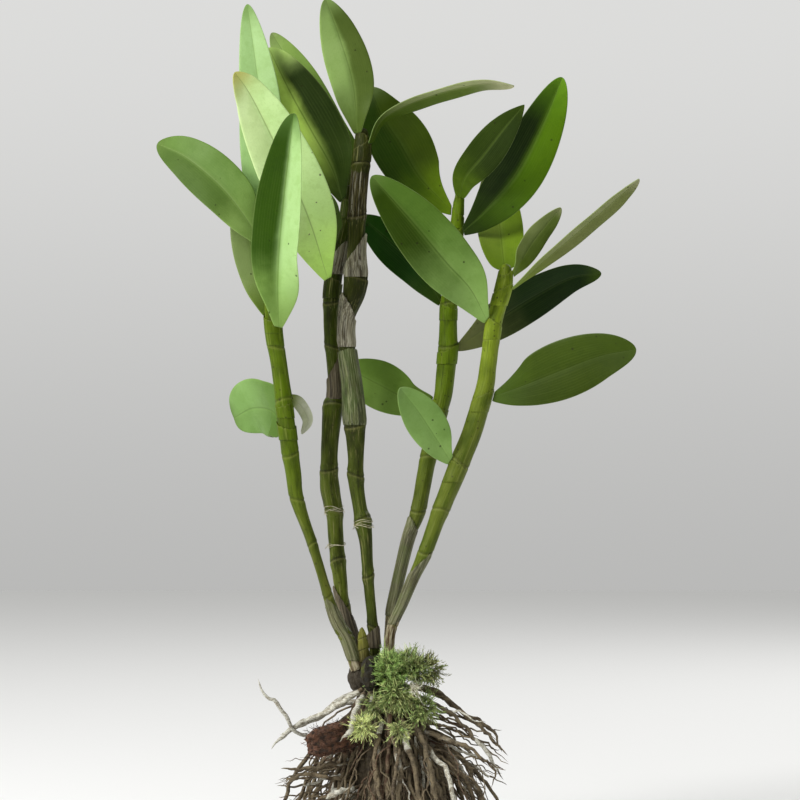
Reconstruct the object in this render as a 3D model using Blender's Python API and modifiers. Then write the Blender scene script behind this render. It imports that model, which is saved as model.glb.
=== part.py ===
"""A bare-root dendrobium orchid that stands on its spread roots.

Five jointed canes rise from one rhizome. They carry leathery leaves and dry papery sheaths.
Units are metres, with lengths below given in millimetres times MM.
X runs to the viewer's right, Y away from the viewer and Z up. The origin is the centre of the
flat underside of the root mass.
"""

import math
import random
from dataclasses import dataclass

import bmesh
import bpy
from mathutils import Matrix, Vector

MM = 0.001

# Fits and wall thicknesses, in millimetres
SEAT_GAP = 0.3
LEAF_THICKNESS = 0.8
SHEATH_GAP = 0.5
SHEATH_WALL = 0.6

# Edges that turn by more than this stay sharp, in degrees
SHARP_EDGE = 40

# Points closer than this are one point, in metres: in welded tubes and in joined bodies
TUBE_WELD = 0.00001
BODY_WELD = 0.000002

# Faces round an ellipsoid and from its foot to its top
ELLIPSOID_SEGMENTS = 14
ELLIPSOID_RINGS = 8

# Cane stations from the base up: x, y, z and diameter, in millimetres
CANES = {
    "cane_left": (
        (-16, -5, 79, 7), (-21, -6, 94, 7), (-26, -7, 103, 6.5), (-31, -9, 117, 4.8),
        (-38.5, -12, 142, 5), (-46, -14, 164, 6.6), (-48, -15, 178, 7.8), (-50.5, -16, 195, 8.6),
        (-54.5, -18, 228, 8.2), (-57.5, -20, 247, 8.2), (-59, -21, 272, 7), (-60, -22, 294, 4),
    ),
    "cane_middle_left": (
        (-15.5, 4.5, 79, 6.5), (-18, 5, 92, 6.5), (-23, 6, 110, 5.8), (-25, 7, 123, 7),
        (-27, 8, 142, 7.6), (-28, 8, 158, 8.2), (-30, 8, 169, 9.8), (-30.5, 8, 180, 8.4),
        (-30, 8, 195, 8.8), (-28.5, 8, 211, 9.8), (-27.5, 8, 220, 7), (-29.5, 8, 252, 7.8),
        (-28.5, 8, 272, 8.2), (-25, 9, 289, 6.6), (-22, 10, 306, 6), (-20.5, 10, 322, 4),
    ),
    "cane_middle": (
        (-7, 0, 82, 6), (-8.5, 0, 100, 5), (-11, 0, 126, 5.4), (-12, -1, 142, 6.4),
        (-13.5, -1, 153, 8.2), (-15, -1, 160, 6.8), (-17, -1, 174, 7.6), (-17, -2, 186, 8),
        (-17.5, -2, 201, 10), (-19, -2, 221, 8.6), (-21.5, -3, 240, 7.6), (-21.5, -3, 254, 7.2),
        (-17.5, -3, 270, 11.5), (-17, -3, 289, 8.6), (-16.5, -3, 306, 8.8), (-15.5, -2, 321, 9.2),
        (-14, -2, 337, 8), (-13.5, -2, 350, 5),
    ),
    "cane_right_back": (
        (-1, 6, 84, 5), (0, 7, 104, 4.6), (3, 7, 119, 5), (9, 8, 144, 5.6), (14, 9, 158, 7.4),
        (19, 10, 184, 8.2), (24, 11, 206, 8.6), (26.5, 11, 216, 9), (28, 12, 228, 9.6),
        (29, 12, 241, 9.4), (29.5, 13, 261, 8.4), (31, 13, 279, 7.4), (33.5, 14, 299, 6.6),
        (35, 14, 319, 4),
    ),
    "cane_right_front": (
        (-0.5, -3.5, 84, 5), (0.5, -3.5, 99, 5), (6, -4, 112, 5.2), (11.5, -4, 125, 5.6),
        (17.5, -5, 138, 7), (24.5, -5, 157, 8.2), (31, -6, 173, 9.6), (35, -6, 183, 9.8),
        (42, -7, 201, 9.8), (47.5, -8, 221, 9), (49, -9, 232, 8.4), (52, -9, 253, 8),
        (56.5, -9, 270, 8), (58, -9, 282, 5),
    ),
}
CANE_STEP = 9.0
CANE_RESOLUTION = 2
CANE_FOOT_TOP = 125

# Dry sheaths: the cane each wraps, its lower and upper height, and how far it flares at the top
SHEATHS = {
    "sheath_middle_left": ("cane_middle_left", 214, 238, 0.5),
    "sheath_middle_top": ("cane_middle", 277, 296, 0.7),
    "sheath_middle_upper": ("cane_middle", 241.5, 266, 0.6),
    "sheath_middle_lower": ("cane_middle", 202, 240, 0.6),
    "sheath_right_back": ("cane_right_back", 108, 156, 0.3),
    "sheath_right_front": ("cane_right_front", 103, 136, 0.3),
}
SHEATH_LEAST_SPACING = 1.0

# Root mass: a firm core that the roots stand out of
CORE_FOOT_RADIUS = 24.0
CORE_TOP_RADIUS = 13.0
CORE_HEIGHT = 72.0
CORE_SIDES = 20
RHIZOME_LUMPS = (
    ((-14, 0, 76), (10, 11, 12)),
    ((-6, 0, 79), (10, 10, 11)),
    ((1, 1, 79), (8, 11, 12)),
)
CORE_HEART_CENTRE = (0, 0, 40)
CORE_HEART_RADII = (6, 6, 20)

# Roots that run down and outwards all round, with their ends bent down to the ground
ROOT_COUNT = 52
ROOT_SEGMENTS = 6
ROOT_SIDES = 1
ROOT_SEED = 11
ROOT_RADIUS = (1.2, 1.9)
ROOT_TAPER = 0.35
ROOT_SPREAD = (61.0, 41.0)
ROOT_REACH = (0.7, 1.0)
ROOT_SLOPE = (0.42, 0.9)
ROOT_BEND = 6
ROOT_CROWDING = 1.3
ROOT_DEPTH = 0.6
ROOT_SWERVE = 0.35
ROOT_JITTER = 0.3
ROOT_UNEVEN = 0.05
ROOT_LIFT = 0.1

# Heights where the roots leave the core, and the directions kept free in degrees
ROOT_TOP = 68.0
ROOT_TOP_BELOW_MOSS = 58.0
ROOT_TOP_BELOW_BARK = 27.0
ROOT_TOP_RANGE = 10
MOSS_SECTOR = 100
BARK_SECTOR = 32

# Single roots that stand out on the left: their points and their diameters
SINGLE_ROOTS = (
    (
        (-10, 2, 44), (-30, 0, 47), (-44, -6, 47), (-50, -9, 53), (-54, -10, 60), (-57, -11, 64),
        (-61, -11, 65), (-64, -10, 70), (-66, -9, 75),
    ),
    ((-10, -2, 68), (-22, -4, 66), (-33, -6, 58), (-46, -7, 52), (-56, -8, 44), (-59, -8, 40)),
    ((-8, 2, 64), (-24, 2, 61), (-36, 2, 53), (-48, 1, 48), (-55, 0, 43)),
    ((-14, -6, 31), (-30, -11, 32), (-42, -12, 30), (-54, -13, 31)),
    ((-16, -8, 24), (-28, -15, 26), (-41, -17, 28), (-53, -19, 24)),
    ((-14, -12, 22), (-24, -22, 20), (-34, -25, 17), (-43, -27, 14)),
)
SINGLE_ROOT_DIAMETERS = (1.8, 3.2, 2.8, 2.4, 2.4, 2.2)
SINGLE_ROOT_STEP = 8.0

# Moss tuft at the front of the crown
MOSS_CENTRE = (10, -12, 77)
MOSS_RADII = (15, 9, 11)
MOSS_BLADES = 85
MOSS_SEED = 5
MOSS_CLEARANCE = 3.0
MOSS_BLADE_LENGTH = (5.5, 9.0)
MOSS_BLADE_RADIUS = 0.9
MOSS_BLADE_SIDES = 3
MOSS_BLADE_LIFT = (-0.25, 1.0)
MOSS_BLADE_DEPTH = 0.8
MOSS_BLADE_RISE = 0.7

# The chip of bark between the roots
BARK_CENTRE = (-26, -17, 45)
BARK_SIZE = (31, 11, 15)
BARK_TILT = 12
BARK_CUTS = 2
BARK_UNEVEN = 0.05
BARK_SEED = 3

# The old bulb and the new shoot on the rhizome
OLD_BULB_CENTRE = (-10, -13.5, 78)
OLD_BULB_RADII = (4.5, 4.5, 9)
BULB_SEGMENTS = 12
SHOOT_STATIONS = (
    (-12.3, -7.5, 84, 5), (-13.2, -9, 91, 5.4), (-13.8, -10.5, 97, 4), (-14, -11, 101, 1.4),
)
SHOOT_STEP = 3.0


@dataclass(frozen=True)
class Leaf:
    """One leaf blade: where it leaves its cane, the points its midrib runs through and its form."""

    cane: str
    height: float
    midrib: tuple
    width: float
    roll: tuple = (0.0, 0.0)
    fold: float = 14.0
    bluntness: float = 0.55
    peak: float = 0.9


# Midrib points and widths in millimetres, roll and fold in degrees
LEAVES = {
    "leaf_left_front": Leaf("cane_left", 250, ((-55, -30, 279), (-52, -33, 314), (-47, -40, 355)),
                            27, (-28, -24), 28, 0.48, 0.8),
    "leaf_left_back": Leaf("cane_left", 256, ((-66, -9, 279), (-71, -2, 300), (-74, 4, 322)),
                           20, (-10, -10)),
    "leaf_left_side": Leaf("cane_left", 291, ((-80, -18, 316), (-100, -8, 334), (-116.5, 6, 342.5)),
                           26, (5, 5), 12),
    "leaf_left_top": Leaf("cane_left", 288,
                          ((-62, -7, 310), (-64, -2, 340), (-65.5, -1, 369), (-71.5, 6, 412.5)),
                          22, (-20, 5), 12),
    "leaf_left_low": Leaf("cane_left", 203, ((-57, 0, 207), (-67, 16, 209), (-79, 30, 206)),
                          33, (0, 0), 8, 0.42),
    "leaf_left_tiny": Leaf("cane_left", 214, ((-45, -9, 212), (-41, -8, 204), (-44, -9, 196)), 9),
    "leaf_centre_front": Leaf("cane_middle_left", 274,
                              ((-41, -14, 306), (-56, -22, 339), (-68.5, -29, 364), (-76.5, -35, 375.5)),
                              31, (0, 10), 12),
    "leaf_centre_middle": Leaf("cane_middle_left", 314,
                               ((-29, 3, 330), (-39, 4, 348), (-51, 7, 370), (-61, 12, 391)), 25),
    "leaf_centre_back": Leaf("cane_middle_left", 317,
                             ((-23, 19, 334), (-34, 22, 352), (-47, 26, 378), (-60, 31, 400)), 22),
    "leaf_centre_small": Leaf("cane_middle_left", 291, ((-30.5, 2, 304), (-33, -2, 319)),
                              12, (30, 30), 30),
    "leaf_middle_top": Leaf("cane_middle", 347, ((-18.5, -8, 372), (-25, -13, 394), (-32, -20, 413)), 23),
    "leaf_middle_side": Leaf("cane_middle", 342,
                             ((-2.5, -8, 355), (20, -17, 365), (45, -25, 370.5), (61.5, -29, 369)),
                             20, (68, 60), 12),
    "leaf_back_big": Leaf("cane_right_back", 309,
                          ((15, 13, 326), (5, 14, 343), (-4, 12, 357), (-10, 9, 371)), 33),
    "leaf_back_small": Leaf("cane_right_back", 316,
                            ((37.5, -5, 325), (46, -15, 335), (57, -22, 349), (66.5, -27, 360)),
                            18, (0, 20), 20, 0.8, 1.15),
    "leaf_back_right": Leaf("cane_right_back", 299,
                            ((48, 5, 309), (63, 1, 326), (76, 3, 351), (86.5, 10, 376)), 26, (0, 10)),
    "leaf_back_dark": Leaf("cane_right_back", 263, ((14, 22, 281), (0, 28, 294), (-15, 32, 307)), 23),
    "leaf_back_low_right": Leaf("cane_right_back", 241,
                                ((55, 18, 255), (75, 22, 267.5), (92, 27, 276), (107, 32, 278)),
                                22, (15, 25)),
    "leaf_back_low_left": Leaf("cane_right_back", 212, ((10, 19, 214), (-6, 25, 222), (-23, 32, 231)), 27),
    "leaf_right_upright": Leaf("cane_right_front", 279, ((56, 13, 295), (54, 26, 315), (54, 35, 336)), 23),
    "leaf_right_small": Leaf("cane_right_front", 277, ((72, -12, 294), (85, -16, 309.5)), 12, (20, 20), 20),
    "leaf_right_long": Leaf("cane_right_front", 270,
                            ((77.5, -17, 284), (100, -24, 303), (115, -30, 316), (123, -34, 323)),
                            18, (55, 50), 18),
    "leaf_right_front": Leaf("cane_right_front", 253,
                             ((40, -20, 269), (28, -25, 282), (12, -29, 301), (-9, -32, 324.5)),
                             30, (0, 0), 16),
    "leaf_right_low": Leaf("cane_right_front", 217,
                           ((66, -14, 221), (87, -21, 229.5), (105, -27, 236), (121.5, -33, 239)),
                           31, (-10, 0), 14, 0.5, 0.78),
    "leaf_right_low_front": Leaf("cane_right_front", 182, ((23.5, -15, 194), (15, -21, 207), (5, -29, 220)),
                                 21),
}
LEAF_ROWS = 9
LEAF_COLUMNS = 4
LEAF_ROW_CROWDING = 1.4
LEAF_BASE_FADE = 5
LEAF_BASE_HALF_WIDTH = 3.0
LEAF_TWIST_LENGTH = 0.35
LEAST_LEAN = 0.5

# Colours and roughness of each material
PALETTE = {
    "leaf": ((0.16, 0.32, 0.07), 0.42),
    "cane_green": ((0.22, 0.32, 0.06), 0.5),
    "cane_old": ((0.16, 0.14, 0.07), 0.65),
    "sheath": ((0.42, 0.40, 0.33), 0.8),
    "root": ((0.34, 0.27, 0.19), 0.85),
    "moss": ((0.16, 0.30, 0.08), 0.9),
    "bark": ((0.17, 0.08, 0.05), 0.9),
    "shoot": ((0.30, 0.36, 0.12), 0.6),
}
OLD_CANES = ("cane_middle_left", "cane_middle")


def clear_scene():
    """Remove every object of the open file."""
    for item in list(bpy.data.objects):
        bpy.data.objects.remove(item, do_unlink=True)


def collection(name):
    """Make a collection in the scene."""
    made = bpy.data.collections.new(name)
    bpy.context.scene.collection.children.link(made)
    return made


def material(slot):
    """Make the Principled material of one palette entry."""
    colour, roughness = PALETTE[slot]
    made = bpy.data.materials.new(slot)
    made.use_nodes = True
    shader = made.node_tree.nodes["Principled BSDF"]
    shader.inputs["Base Color"].default_value = (*colour, 1.0)
    shader.inputs["Roughness"].default_value = roughness
    shader.inputs["Metallic"].default_value = 0.0
    return made


def smooth_path(stations, step):
    """Read a Catmull-Rom curve through stations of any width at about the given step."""
    rows = [Vector(station) for station in stations]
    rows = [2 * rows[0] - rows[1], *rows, 2 * rows[-1] - rows[-2]]
    path = []
    for before, start, end, after in zip(rows, rows[1:], rows[2:], rows[3:]):
        pieces = max(1, round((end - start).length / step))
        for piece in range(pieces):
            path.append(spline_point(before, start, end, after, piece / pieces))
    path.append(rows[-2])
    return path


def spline_point(before, start, end, after, share):
    """Return one Catmull-Rom point between start and end."""
    square = share * share
    cube = square * share
    return (
        start
        + 0.5 * share * (end - before)
        + square * (before - 2.5 * start + 2 * end - 0.5 * after)
        + cube * (-0.5 * before + 1.5 * start - 1.5 * end + 0.5 * after)
    )


def tube_curve(name, path, extra, capped, resolution):
    """Make a round tube along rows of x, y, z and diameter, with extra added to its radius."""
    curve = bpy.data.curves.new(name, "CURVE")
    curve.dimensions = "3D"
    curve.bevel_depth = MM
    curve.bevel_resolution = resolution
    curve.use_fill_caps = capped
    spline = curve.splines.new("POLY")
    spline.points.add(len(path) - 1)
    for point, row in zip(spline.points, path):
        point.co = (row[0] * MM, row[1] * MM, row[2] * MM, 1.0)
        point.radius = row[3] / 2 + extra
    spline.use_smooth = True
    return bpy.data.objects.new(name, curve)


def as_mesh(source, group):
    """Replace a tube's curve object by a mesh object, with its caps welded where it has any."""
    group.objects.link(source)
    bpy.context.view_layer.update()
    evaluated = source.evaluated_get(bpy.context.evaluated_depsgraph_get())
    mesh = bpy.data.meshes.new_from_object(evaluated)
    if source.data.use_fill_caps:
        weld(mesh)
    name = source.name
    place = source.matrix_world.copy()
    bpy.data.objects.remove(source, do_unlink=True)
    made = bpy.data.objects.new(name, mesh)
    made.matrix_world = place
    group.objects.link(made)
    return made


def weld(mesh):
    """Merge the doubled points of a mesh and turn its faces outwards."""
    shape = bmesh.new()
    shape.from_mesh(mesh)
    bmesh.ops.remove_doubles(shape, verts=shape.verts, dist=TUBE_WELD)
    bmesh.ops.recalc_face_normals(shape, faces=shape.faces)
    shape.to_mesh(mesh)
    shape.free()


def mesh_object(name, shape, group):
    """Turn a finished bmesh into a named object of a collection."""
    mesh = bpy.data.meshes.new(name)
    bmesh.ops.recalc_face_normals(shape, faces=shape.faces)
    shape.to_mesh(mesh)
    shape.free()
    made = bpy.data.objects.new(name, mesh)
    group.objects.link(made)
    return made


def ellipsoid(name, centre, radii, extra, group, segments=ELLIPSOID_SEGMENTS):
    """Make an ellipsoid with extra added to its radii."""
    shape = bmesh.new()
    bmesh.ops.create_uvsphere(shape, u_segments=segments, v_segments=ELLIPSOID_RINGS, radius=1.0)
    size = Matrix.Diagonal([(radius + extra) * MM for radius in radii] + [1.0])
    place = Matrix.Translation(Vector(centre) * MM)
    bmesh.ops.transform(shape, matrix=place @ size, verts=shape.verts)
    return mesh_object(name, shape, group)


def hide_cutter(item):
    """Mark an object as a cutter."""
    item.hide_render = True
    item.display_type = "WIRE"


def apply_boolean(item, operation, group, solver):
    """Join or cut an object by all objects of a collection, apply it and remove them."""
    boolean = item.modifiers.new(operation.title(), "BOOLEAN")
    boolean.operation = operation
    boolean.operand_type = "COLLECTION"
    boolean.collection = group
    boolean.solver = solver
    bpy.context.view_layer.update()
    evaluated = item.evaluated_get(bpy.context.evaluated_depsgraph_get())
    mesh = bpy.data.meshes.new_from_object(evaluated)
    item.modifiers.remove(boolean)
    item.data = mesh
    for used in list(group.objects):
        bpy.data.objects.remove(used, do_unlink=True)
    keep_largest(mesh)


def keep_largest(mesh):
    """Drop all but the body with the most faces from a mesh."""
    shape = bmesh.new()
    shape.from_mesh(mesh)
    bmesh.ops.remove_doubles(shape, verts=shape.verts, dist=BODY_WELD)
    unseen = set(shape.faces)
    bodies = []
    while unseen:
        body = {unseen.pop()}
        front = list(body)
        while front:
            face = front.pop()
            for edge in face.edges:
                for other in edge.link_faces:
                    if other in unseen:
                        unseen.remove(other)
                        body.add(other)
                        front.append(other)
        bodies.append(body)
    largest = max(bodies, key=len)
    scraps = [face for body in bodies if body is not largest for face in body]
    bmesh.ops.delete(shape, geom=scraps, context="FACES")
    bmesh.ops.triangulate(shape, faces=shape.faces)
    shape.to_mesh(mesh)
    shape.free()


def cane_path(name):
    """Return the smooth stations of a cane."""
    return smooth_path(CANES[name], CANE_STEP)


def cane_at(name, height):
    """Return the centre, the direction and the radius of a cane at a height."""
    path = smooth_path(CANES[name], 1.0)
    index = min(range(len(path)), key=lambda row: abs(path[row][2] - height))
    below = path[max(index - 1, 0)]
    above = path[min(index + 1, len(path) - 1)]
    direction = (Vector(above[:3]) - Vector(below[:3])).normalized()
    return Vector(path[index][:3]), direction, path[index][3] / 2


def make_cane(name, group):
    """Make one cane as a tapered tube."""
    made = tube_curve(name, cane_path(name), 0.0, True, CANE_RESOLUTION)
    made.data.materials.append(bpy.data.materials["cane_old" if name in OLD_CANES else "cane_green"])
    group.objects.link(made)


def make_sheath(name, group):
    """Make one dry sheath as a thin open sleeve round its cane."""
    cane, low, high, flare = SHEATHS[name]
    rows = []
    for row in cane_path(cane):
        if low <= row[2] <= high:
            rows.append(row.copy())
    rows = [station_at(cane, low), *rows, station_at(cane, high)]
    rows = spaced(rows, SHEATH_LEAST_SPACING)
    for index, row in enumerate(rows):
        share = index / (len(rows) - 1)
        row[3] += 2 * flare * share * share
    sleeve = as_mesh(tube_curve(name, rows, SHEATH_GAP, False, CANE_RESOLUTION), group)
    wall = sleeve.modifiers.new("Wall", "SOLIDIFY")
    wall.thickness = SHEATH_WALL * MM
    wall.offset = 1.0
    sleeve.data.materials.append(bpy.data.materials["sheath"])
    smooth(sleeve.data)


def station_at(cane, height):
    """Return the station of a cane at a height, read between its smooth rows."""
    path = cane_path(cane)
    for below, above in zip(path, path[1:]):
        if below[2] <= height <= above[2]:
            return below.lerp(above, (height - below[2]) / (above[2] - below[2]))
    return path[-1].copy()


def spaced(rows, least):
    """Drop rows that lie closer than the least height to the row before them."""
    kept = [rows[0]]
    for row in rows[1:-1]:
        if row[2] - kept[-1][2] >= least and rows[-1][2] - row[2] >= least:
            kept.append(row)
    kept.append(rows[-1])
    return kept


def smooth(mesh):
    """Shade a mesh smooth, with its sharp edges kept."""
    mesh.shade_smooth()
    mesh.set_sharp_from_angle(angle=math.radians(SHARP_EDGE))


def half_width(leaf, share):
    """Return the half width of a blade at a share of its length from base to tip."""
    arch = math.sin(math.pi * min(share, 1.0) ** leaf.peak)
    body = leaf.width / 2 * max(arch, 0.0) ** leaf.bluntness
    return body + LEAF_BASE_HALF_WIDTH * (1 - share) ** LEAF_BASE_FADE


def leaf_midrib(leaf):
    """Return the midrib stations of a leaf, the outward direction and the direction of its cane."""
    centre, upward, radius = cane_at(leaf.cane, leaf.height)
    outward = Vector(leaf.midrib[0]) - centre
    outward = (outward - outward.dot(upward) * upward).normalized()
    base = centre + outward * (radius + SEAT_GAP + LEAF_THICKNESS / 2)
    path = smooth_path([base, *[Vector(point) for point in leaf.midrib]], 1.0)
    return path, outward, upward


def at_share(path, share):
    """Return the point and direction at a share of a path's steps."""
    place = share * (len(path) - 1)
    index = min(int(place), len(path) - 2)
    point = path[index].lerp(path[index + 1], place - index)
    below = path[max(index - 1, 0)]
    above = path[min(index + 2, len(path) - 1)]
    return point, (above - below).normalized()


def blade_frame(leaf, share, direction, outward, upward):
    """Return the sideways and facing directions of a blade at a share of its length."""
    towards_viewer = Vector((0, -1, 0))
    facing = (towards_viewer - towards_viewer.dot(direction) * direction).normalized()
    turn = leaf.roll[0] + (leaf.roll[1] - leaf.roll[0]) * share
    facing = Matrix.Rotation(math.radians(turn), 3, direction) @ facing
    sideways = direction.cross(facing)
    clasping = sideways - sideways.dot(outward) * outward
    if clasping.length < LEAST_LEAN:
        clasping = upward.cross(outward)
    if clasping.dot(sideways) < 0:
        clasping = -clasping
    clasping = clasping.normalized()
    blend = min(share / LEAF_TWIST_LENGTH, 1.0)
    blend = blend * blend * (3 - 2 * blend)
    sideways = clasping.lerp(sideways, blend).normalized()
    return sideways, sideways.cross(direction).normalized()


def make_leaf(name, group):
    """Make one leaf as an open folded blade with a wall thickness."""
    leaf = LEAVES[name]
    path, outward, upward = leaf_midrib(leaf)
    shape = bmesh.new()
    rows = []
    for row in range(LEAF_ROWS):
        share = 1 - (1 - row / LEAF_ROWS) ** LEAF_ROW_CROWDING
        point, direction = at_share(path, share)
        sideways, facing = blade_frame(leaf, share, direction, outward, upward)
        half = half_width(leaf, share)
        opening = min(share / LEAF_TWIST_LENGTH, 1.0)
        rise = math.tan(math.radians(leaf.fold)) * opening
        line = []
        for column in range(LEAF_COLUMNS + 1):
            across = 2 * column / LEAF_COLUMNS - 1
            place = point + sideways * across * half + facing * rise * half * abs(across)
            line.append(shape.verts.new(place * MM))
        rows.append(line)
    tip = shape.verts.new(path[-1] * MM)
    for line, following in zip(rows, rows[1:]):
        for column in range(LEAF_COLUMNS):
            shape.faces.new((line[column], line[column + 1], following[column + 1], following[column]))
    for column in range(LEAF_COLUMNS):
        shape.faces.new((rows[-1][column], rows[-1][column + 1], tip))
    bmesh.ops.triangulate(shape, faces=shape.faces)
    blade = mesh_object(name, shape, group)
    wall = blade.modifiers.new("Wall", "SOLIDIFY")
    wall.thickness = LEAF_THICKNESS * MM
    wall.offset = 0.0
    blade.data.materials.append(bpy.data.materials["leaf"])
    smooth(blade.data)


def core_radius(height):
    """Return the radius of the root core at a height."""
    return CORE_FOOT_RADIUS + (CORE_TOP_RADIUS - CORE_FOOT_RADIUS) * height / CORE_HEIGHT


def crown_solids(extra, group):
    """Make the core of the root mass and the rhizome's lumps, with extra on their radii."""
    shape = bmesh.new()
    bmesh.ops.create_cone(
        shape,
        cap_ends=True,
        segments=CORE_SIDES,
        radius1=(CORE_FOOT_RADIUS + extra) * MM,
        radius2=(CORE_TOP_RADIUS + extra) * MM,
        depth=(CORE_HEIGHT + extra) * MM,
    )
    bmesh.ops.translate(shape, vec=(0, 0, (CORE_HEIGHT + extra) / 2 * MM), verts=shape.verts)
    mesh_object("crown_core", shape, group)
    for index, (centre, radii) in enumerate(RHIZOME_LUMPS):
        ellipsoid(f"crown_lump_{index}", centre, radii, extra, group)


def cane_cutters(group):
    """Make the sockets' cutters, each a cane's foot with the seat gap all round."""
    for name in CANES:
        path = cane_path(name)
        direction = (path[0] - path[1]).to_3d().normalized()
        foot = path[0].copy()
        for axis in range(3):
            foot[axis] += direction[axis] * SEAT_GAP
        path[0] = foot
        rows = [row for row in path if row[2] < CANE_FOOT_TOP]
        hide_cutter(as_mesh(tube_curve(f"socket_{name}", rows, SEAT_GAP, True, CANE_RESOLUTION), group))


def root_start(angle):
    """Return the height where a root at an angle leaves the core, below the moss and the bark."""
    moss = math.atan2(MOSS_CENTRE[1], MOSS_CENTRE[0])
    bark = math.atan2(BARK_CENTRE[1], BARK_CENTRE[0])
    if angular_gap(angle, bark) < math.radians(BARK_SECTOR):
        return ROOT_TOP_BELOW_BARK
    if angular_gap(angle, moss) < math.radians(MOSS_SECTOR):
        return ROOT_TOP_BELOW_MOSS
    return ROOT_TOP


def angular_gap(first, second):
    """Return the angle between two directions, from 0 to pi."""
    return abs((first - second + math.pi) % (2 * math.pi) - math.pi)


def root_path(index, draw):
    """Return the stations of one root, from inside the core down and outwards to the ground."""
    angle = 2 * math.pi * (index + draw.uniform(-ROOT_JITTER, ROOT_JITTER)) / ROOT_COUNT
    top = root_start(angle) - draw.uniform(0, ROOT_TOP_RANGE)
    reach = draw.uniform(*ROOT_REACH)
    swerve = draw.uniform(-ROOT_SWERVE, ROOT_SWERVE)
    radius = draw.uniform(*ROOT_RADIUS)
    slope = draw.uniform(*ROOT_SLOPE)
    spread = Vector((ROOT_SPREAD[0] * math.cos(angle), ROOT_SPREAD[1] * math.sin(angle))).length * reach
    inner = core_radius(top) * ROOT_DEPTH
    path = []
    for step in range(ROOT_SEGMENTS + 1):
        share = 1 - (1 - step / ROOT_SEGMENTS) ** ROOT_CROWDING
        turn = angle + swerve * share + draw.uniform(-ROOT_UNEVEN, ROOT_UNEVEN)
        out = inner + (spread - inner) * share
        fallen = slope * share + (1 - slope) * share ** ROOT_BEND
        height = top * (1 - fallen) + radius + ROOT_LIFT
        thick = 2 * radius * (1 - ROOT_TAPER * share)
        path.append(Vector((out * math.cos(turn), out * math.sin(turn), height, thick)))
    return [below_moss(row) for row in path]


def below_moss(row):
    """Bend one station of a root down until it is clear of the moss."""
    aside = 0.0
    for axis in range(2):
        aside += ((row[axis] - MOSS_CENTRE[axis]) / (MOSS_RADII[axis] + MOSS_CLEARANCE)) ** 2
    if aside < 1:
        highest = MOSS_CENTRE[2] - (MOSS_RADII[2] + MOSS_CLEARANCE) * math.sqrt(1 - aside)
        row[2] = min(row[2], highest)
    return row


def make_root_mass(group, work):
    """Make the rhizome, the core and all roots as one body with the canes' sockets."""
    draw = random.Random(ROOT_SEED)
    crown_solids(0.0, work)
    for index in range(ROOT_COUNT):
        as_mesh(tube_curve(f"root_{index}", root_path(index, draw), 0.0, True, ROOT_SIDES), work)
    for index, (points, diameter) in enumerate(zip(SINGLE_ROOTS, SINGLE_ROOT_DIAMETERS)):
        rows = smooth_path([(*point, diameter) for point in points], SINGLE_ROOT_STEP)
        as_mesh(tube_curve(f"single_root_{index}", rows, 0.0, True, ROOT_SIDES), work)
    body = ellipsoid("root_mass", CORE_HEART_CENTRE, CORE_HEART_RADII, 0.0, group)
    apply_boolean(body, "UNION", work, "MANIFOLD")
    cane_cutters(work)
    apply_boolean(body, "DIFFERENCE", work, "MANIFOLD")
    body.data.materials.clear()
    body.data.materials.append(bpy.data.materials["root"])
    smooth(body.data)


def make_moss(group, work):
    """Make the moss tuft, a small cushion covered in pointed blades."""
    draw = random.Random(MOSS_SEED)
    centre = Vector(MOSS_CENTRE)
    for index in range(MOSS_BLADES):
        turn = draw.uniform(0, 2 * math.pi)
        lift = draw.uniform(*MOSS_BLADE_LIFT)
        flat = math.sqrt(1 - lift * lift)
        outward = Vector((math.cos(turn) * flat, math.sin(turn) * flat, lift))
        foot = centre + Vector(radius * part for radius, part in zip(MOSS_RADII, outward)) * MOSS_BLADE_DEPTH
        lean = outward + Vector((0, 0, MOSS_BLADE_RISE))
        length = draw.uniform(*MOSS_BLADE_LENGTH)
        tip = foot + lean.normalized() * length
        shape = bmesh.new()
        bmesh.ops.create_cone(
            shape,
            cap_ends=True,
            segments=MOSS_BLADE_SIDES,
            radius1=MOSS_BLADE_RADIUS * MM,
            radius2=0.0,
            depth=length * MM,
        )
        turned = lean.to_track_quat("Z", "Y").to_matrix().to_4x4()
        place = Matrix.Translation((foot + tip) / 2 * MM)
        bmesh.ops.transform(shape, matrix=place @ turned, verts=shape.verts)
        mesh_object(f"moss_blade_{index}", shape, work)
    tuft = ellipsoid("moss_tuft", MOSS_CENTRE, MOSS_RADII, 0.0, group)
    apply_boolean(tuft, "UNION", work, "MANIFOLD")
    crown_solids(SEAT_GAP, work)
    ellipsoid("bulb_cutter", OLD_BULB_CENTRE, OLD_BULB_RADII, SEAT_GAP, work, BULB_SEGMENTS)
    cane_cutters(work)
    apply_boolean(tuft, "DIFFERENCE", work, "MANIFOLD")
    tuft.data.materials.clear()
    tuft.data.materials.append(bpy.data.materials["moss"])


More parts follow.
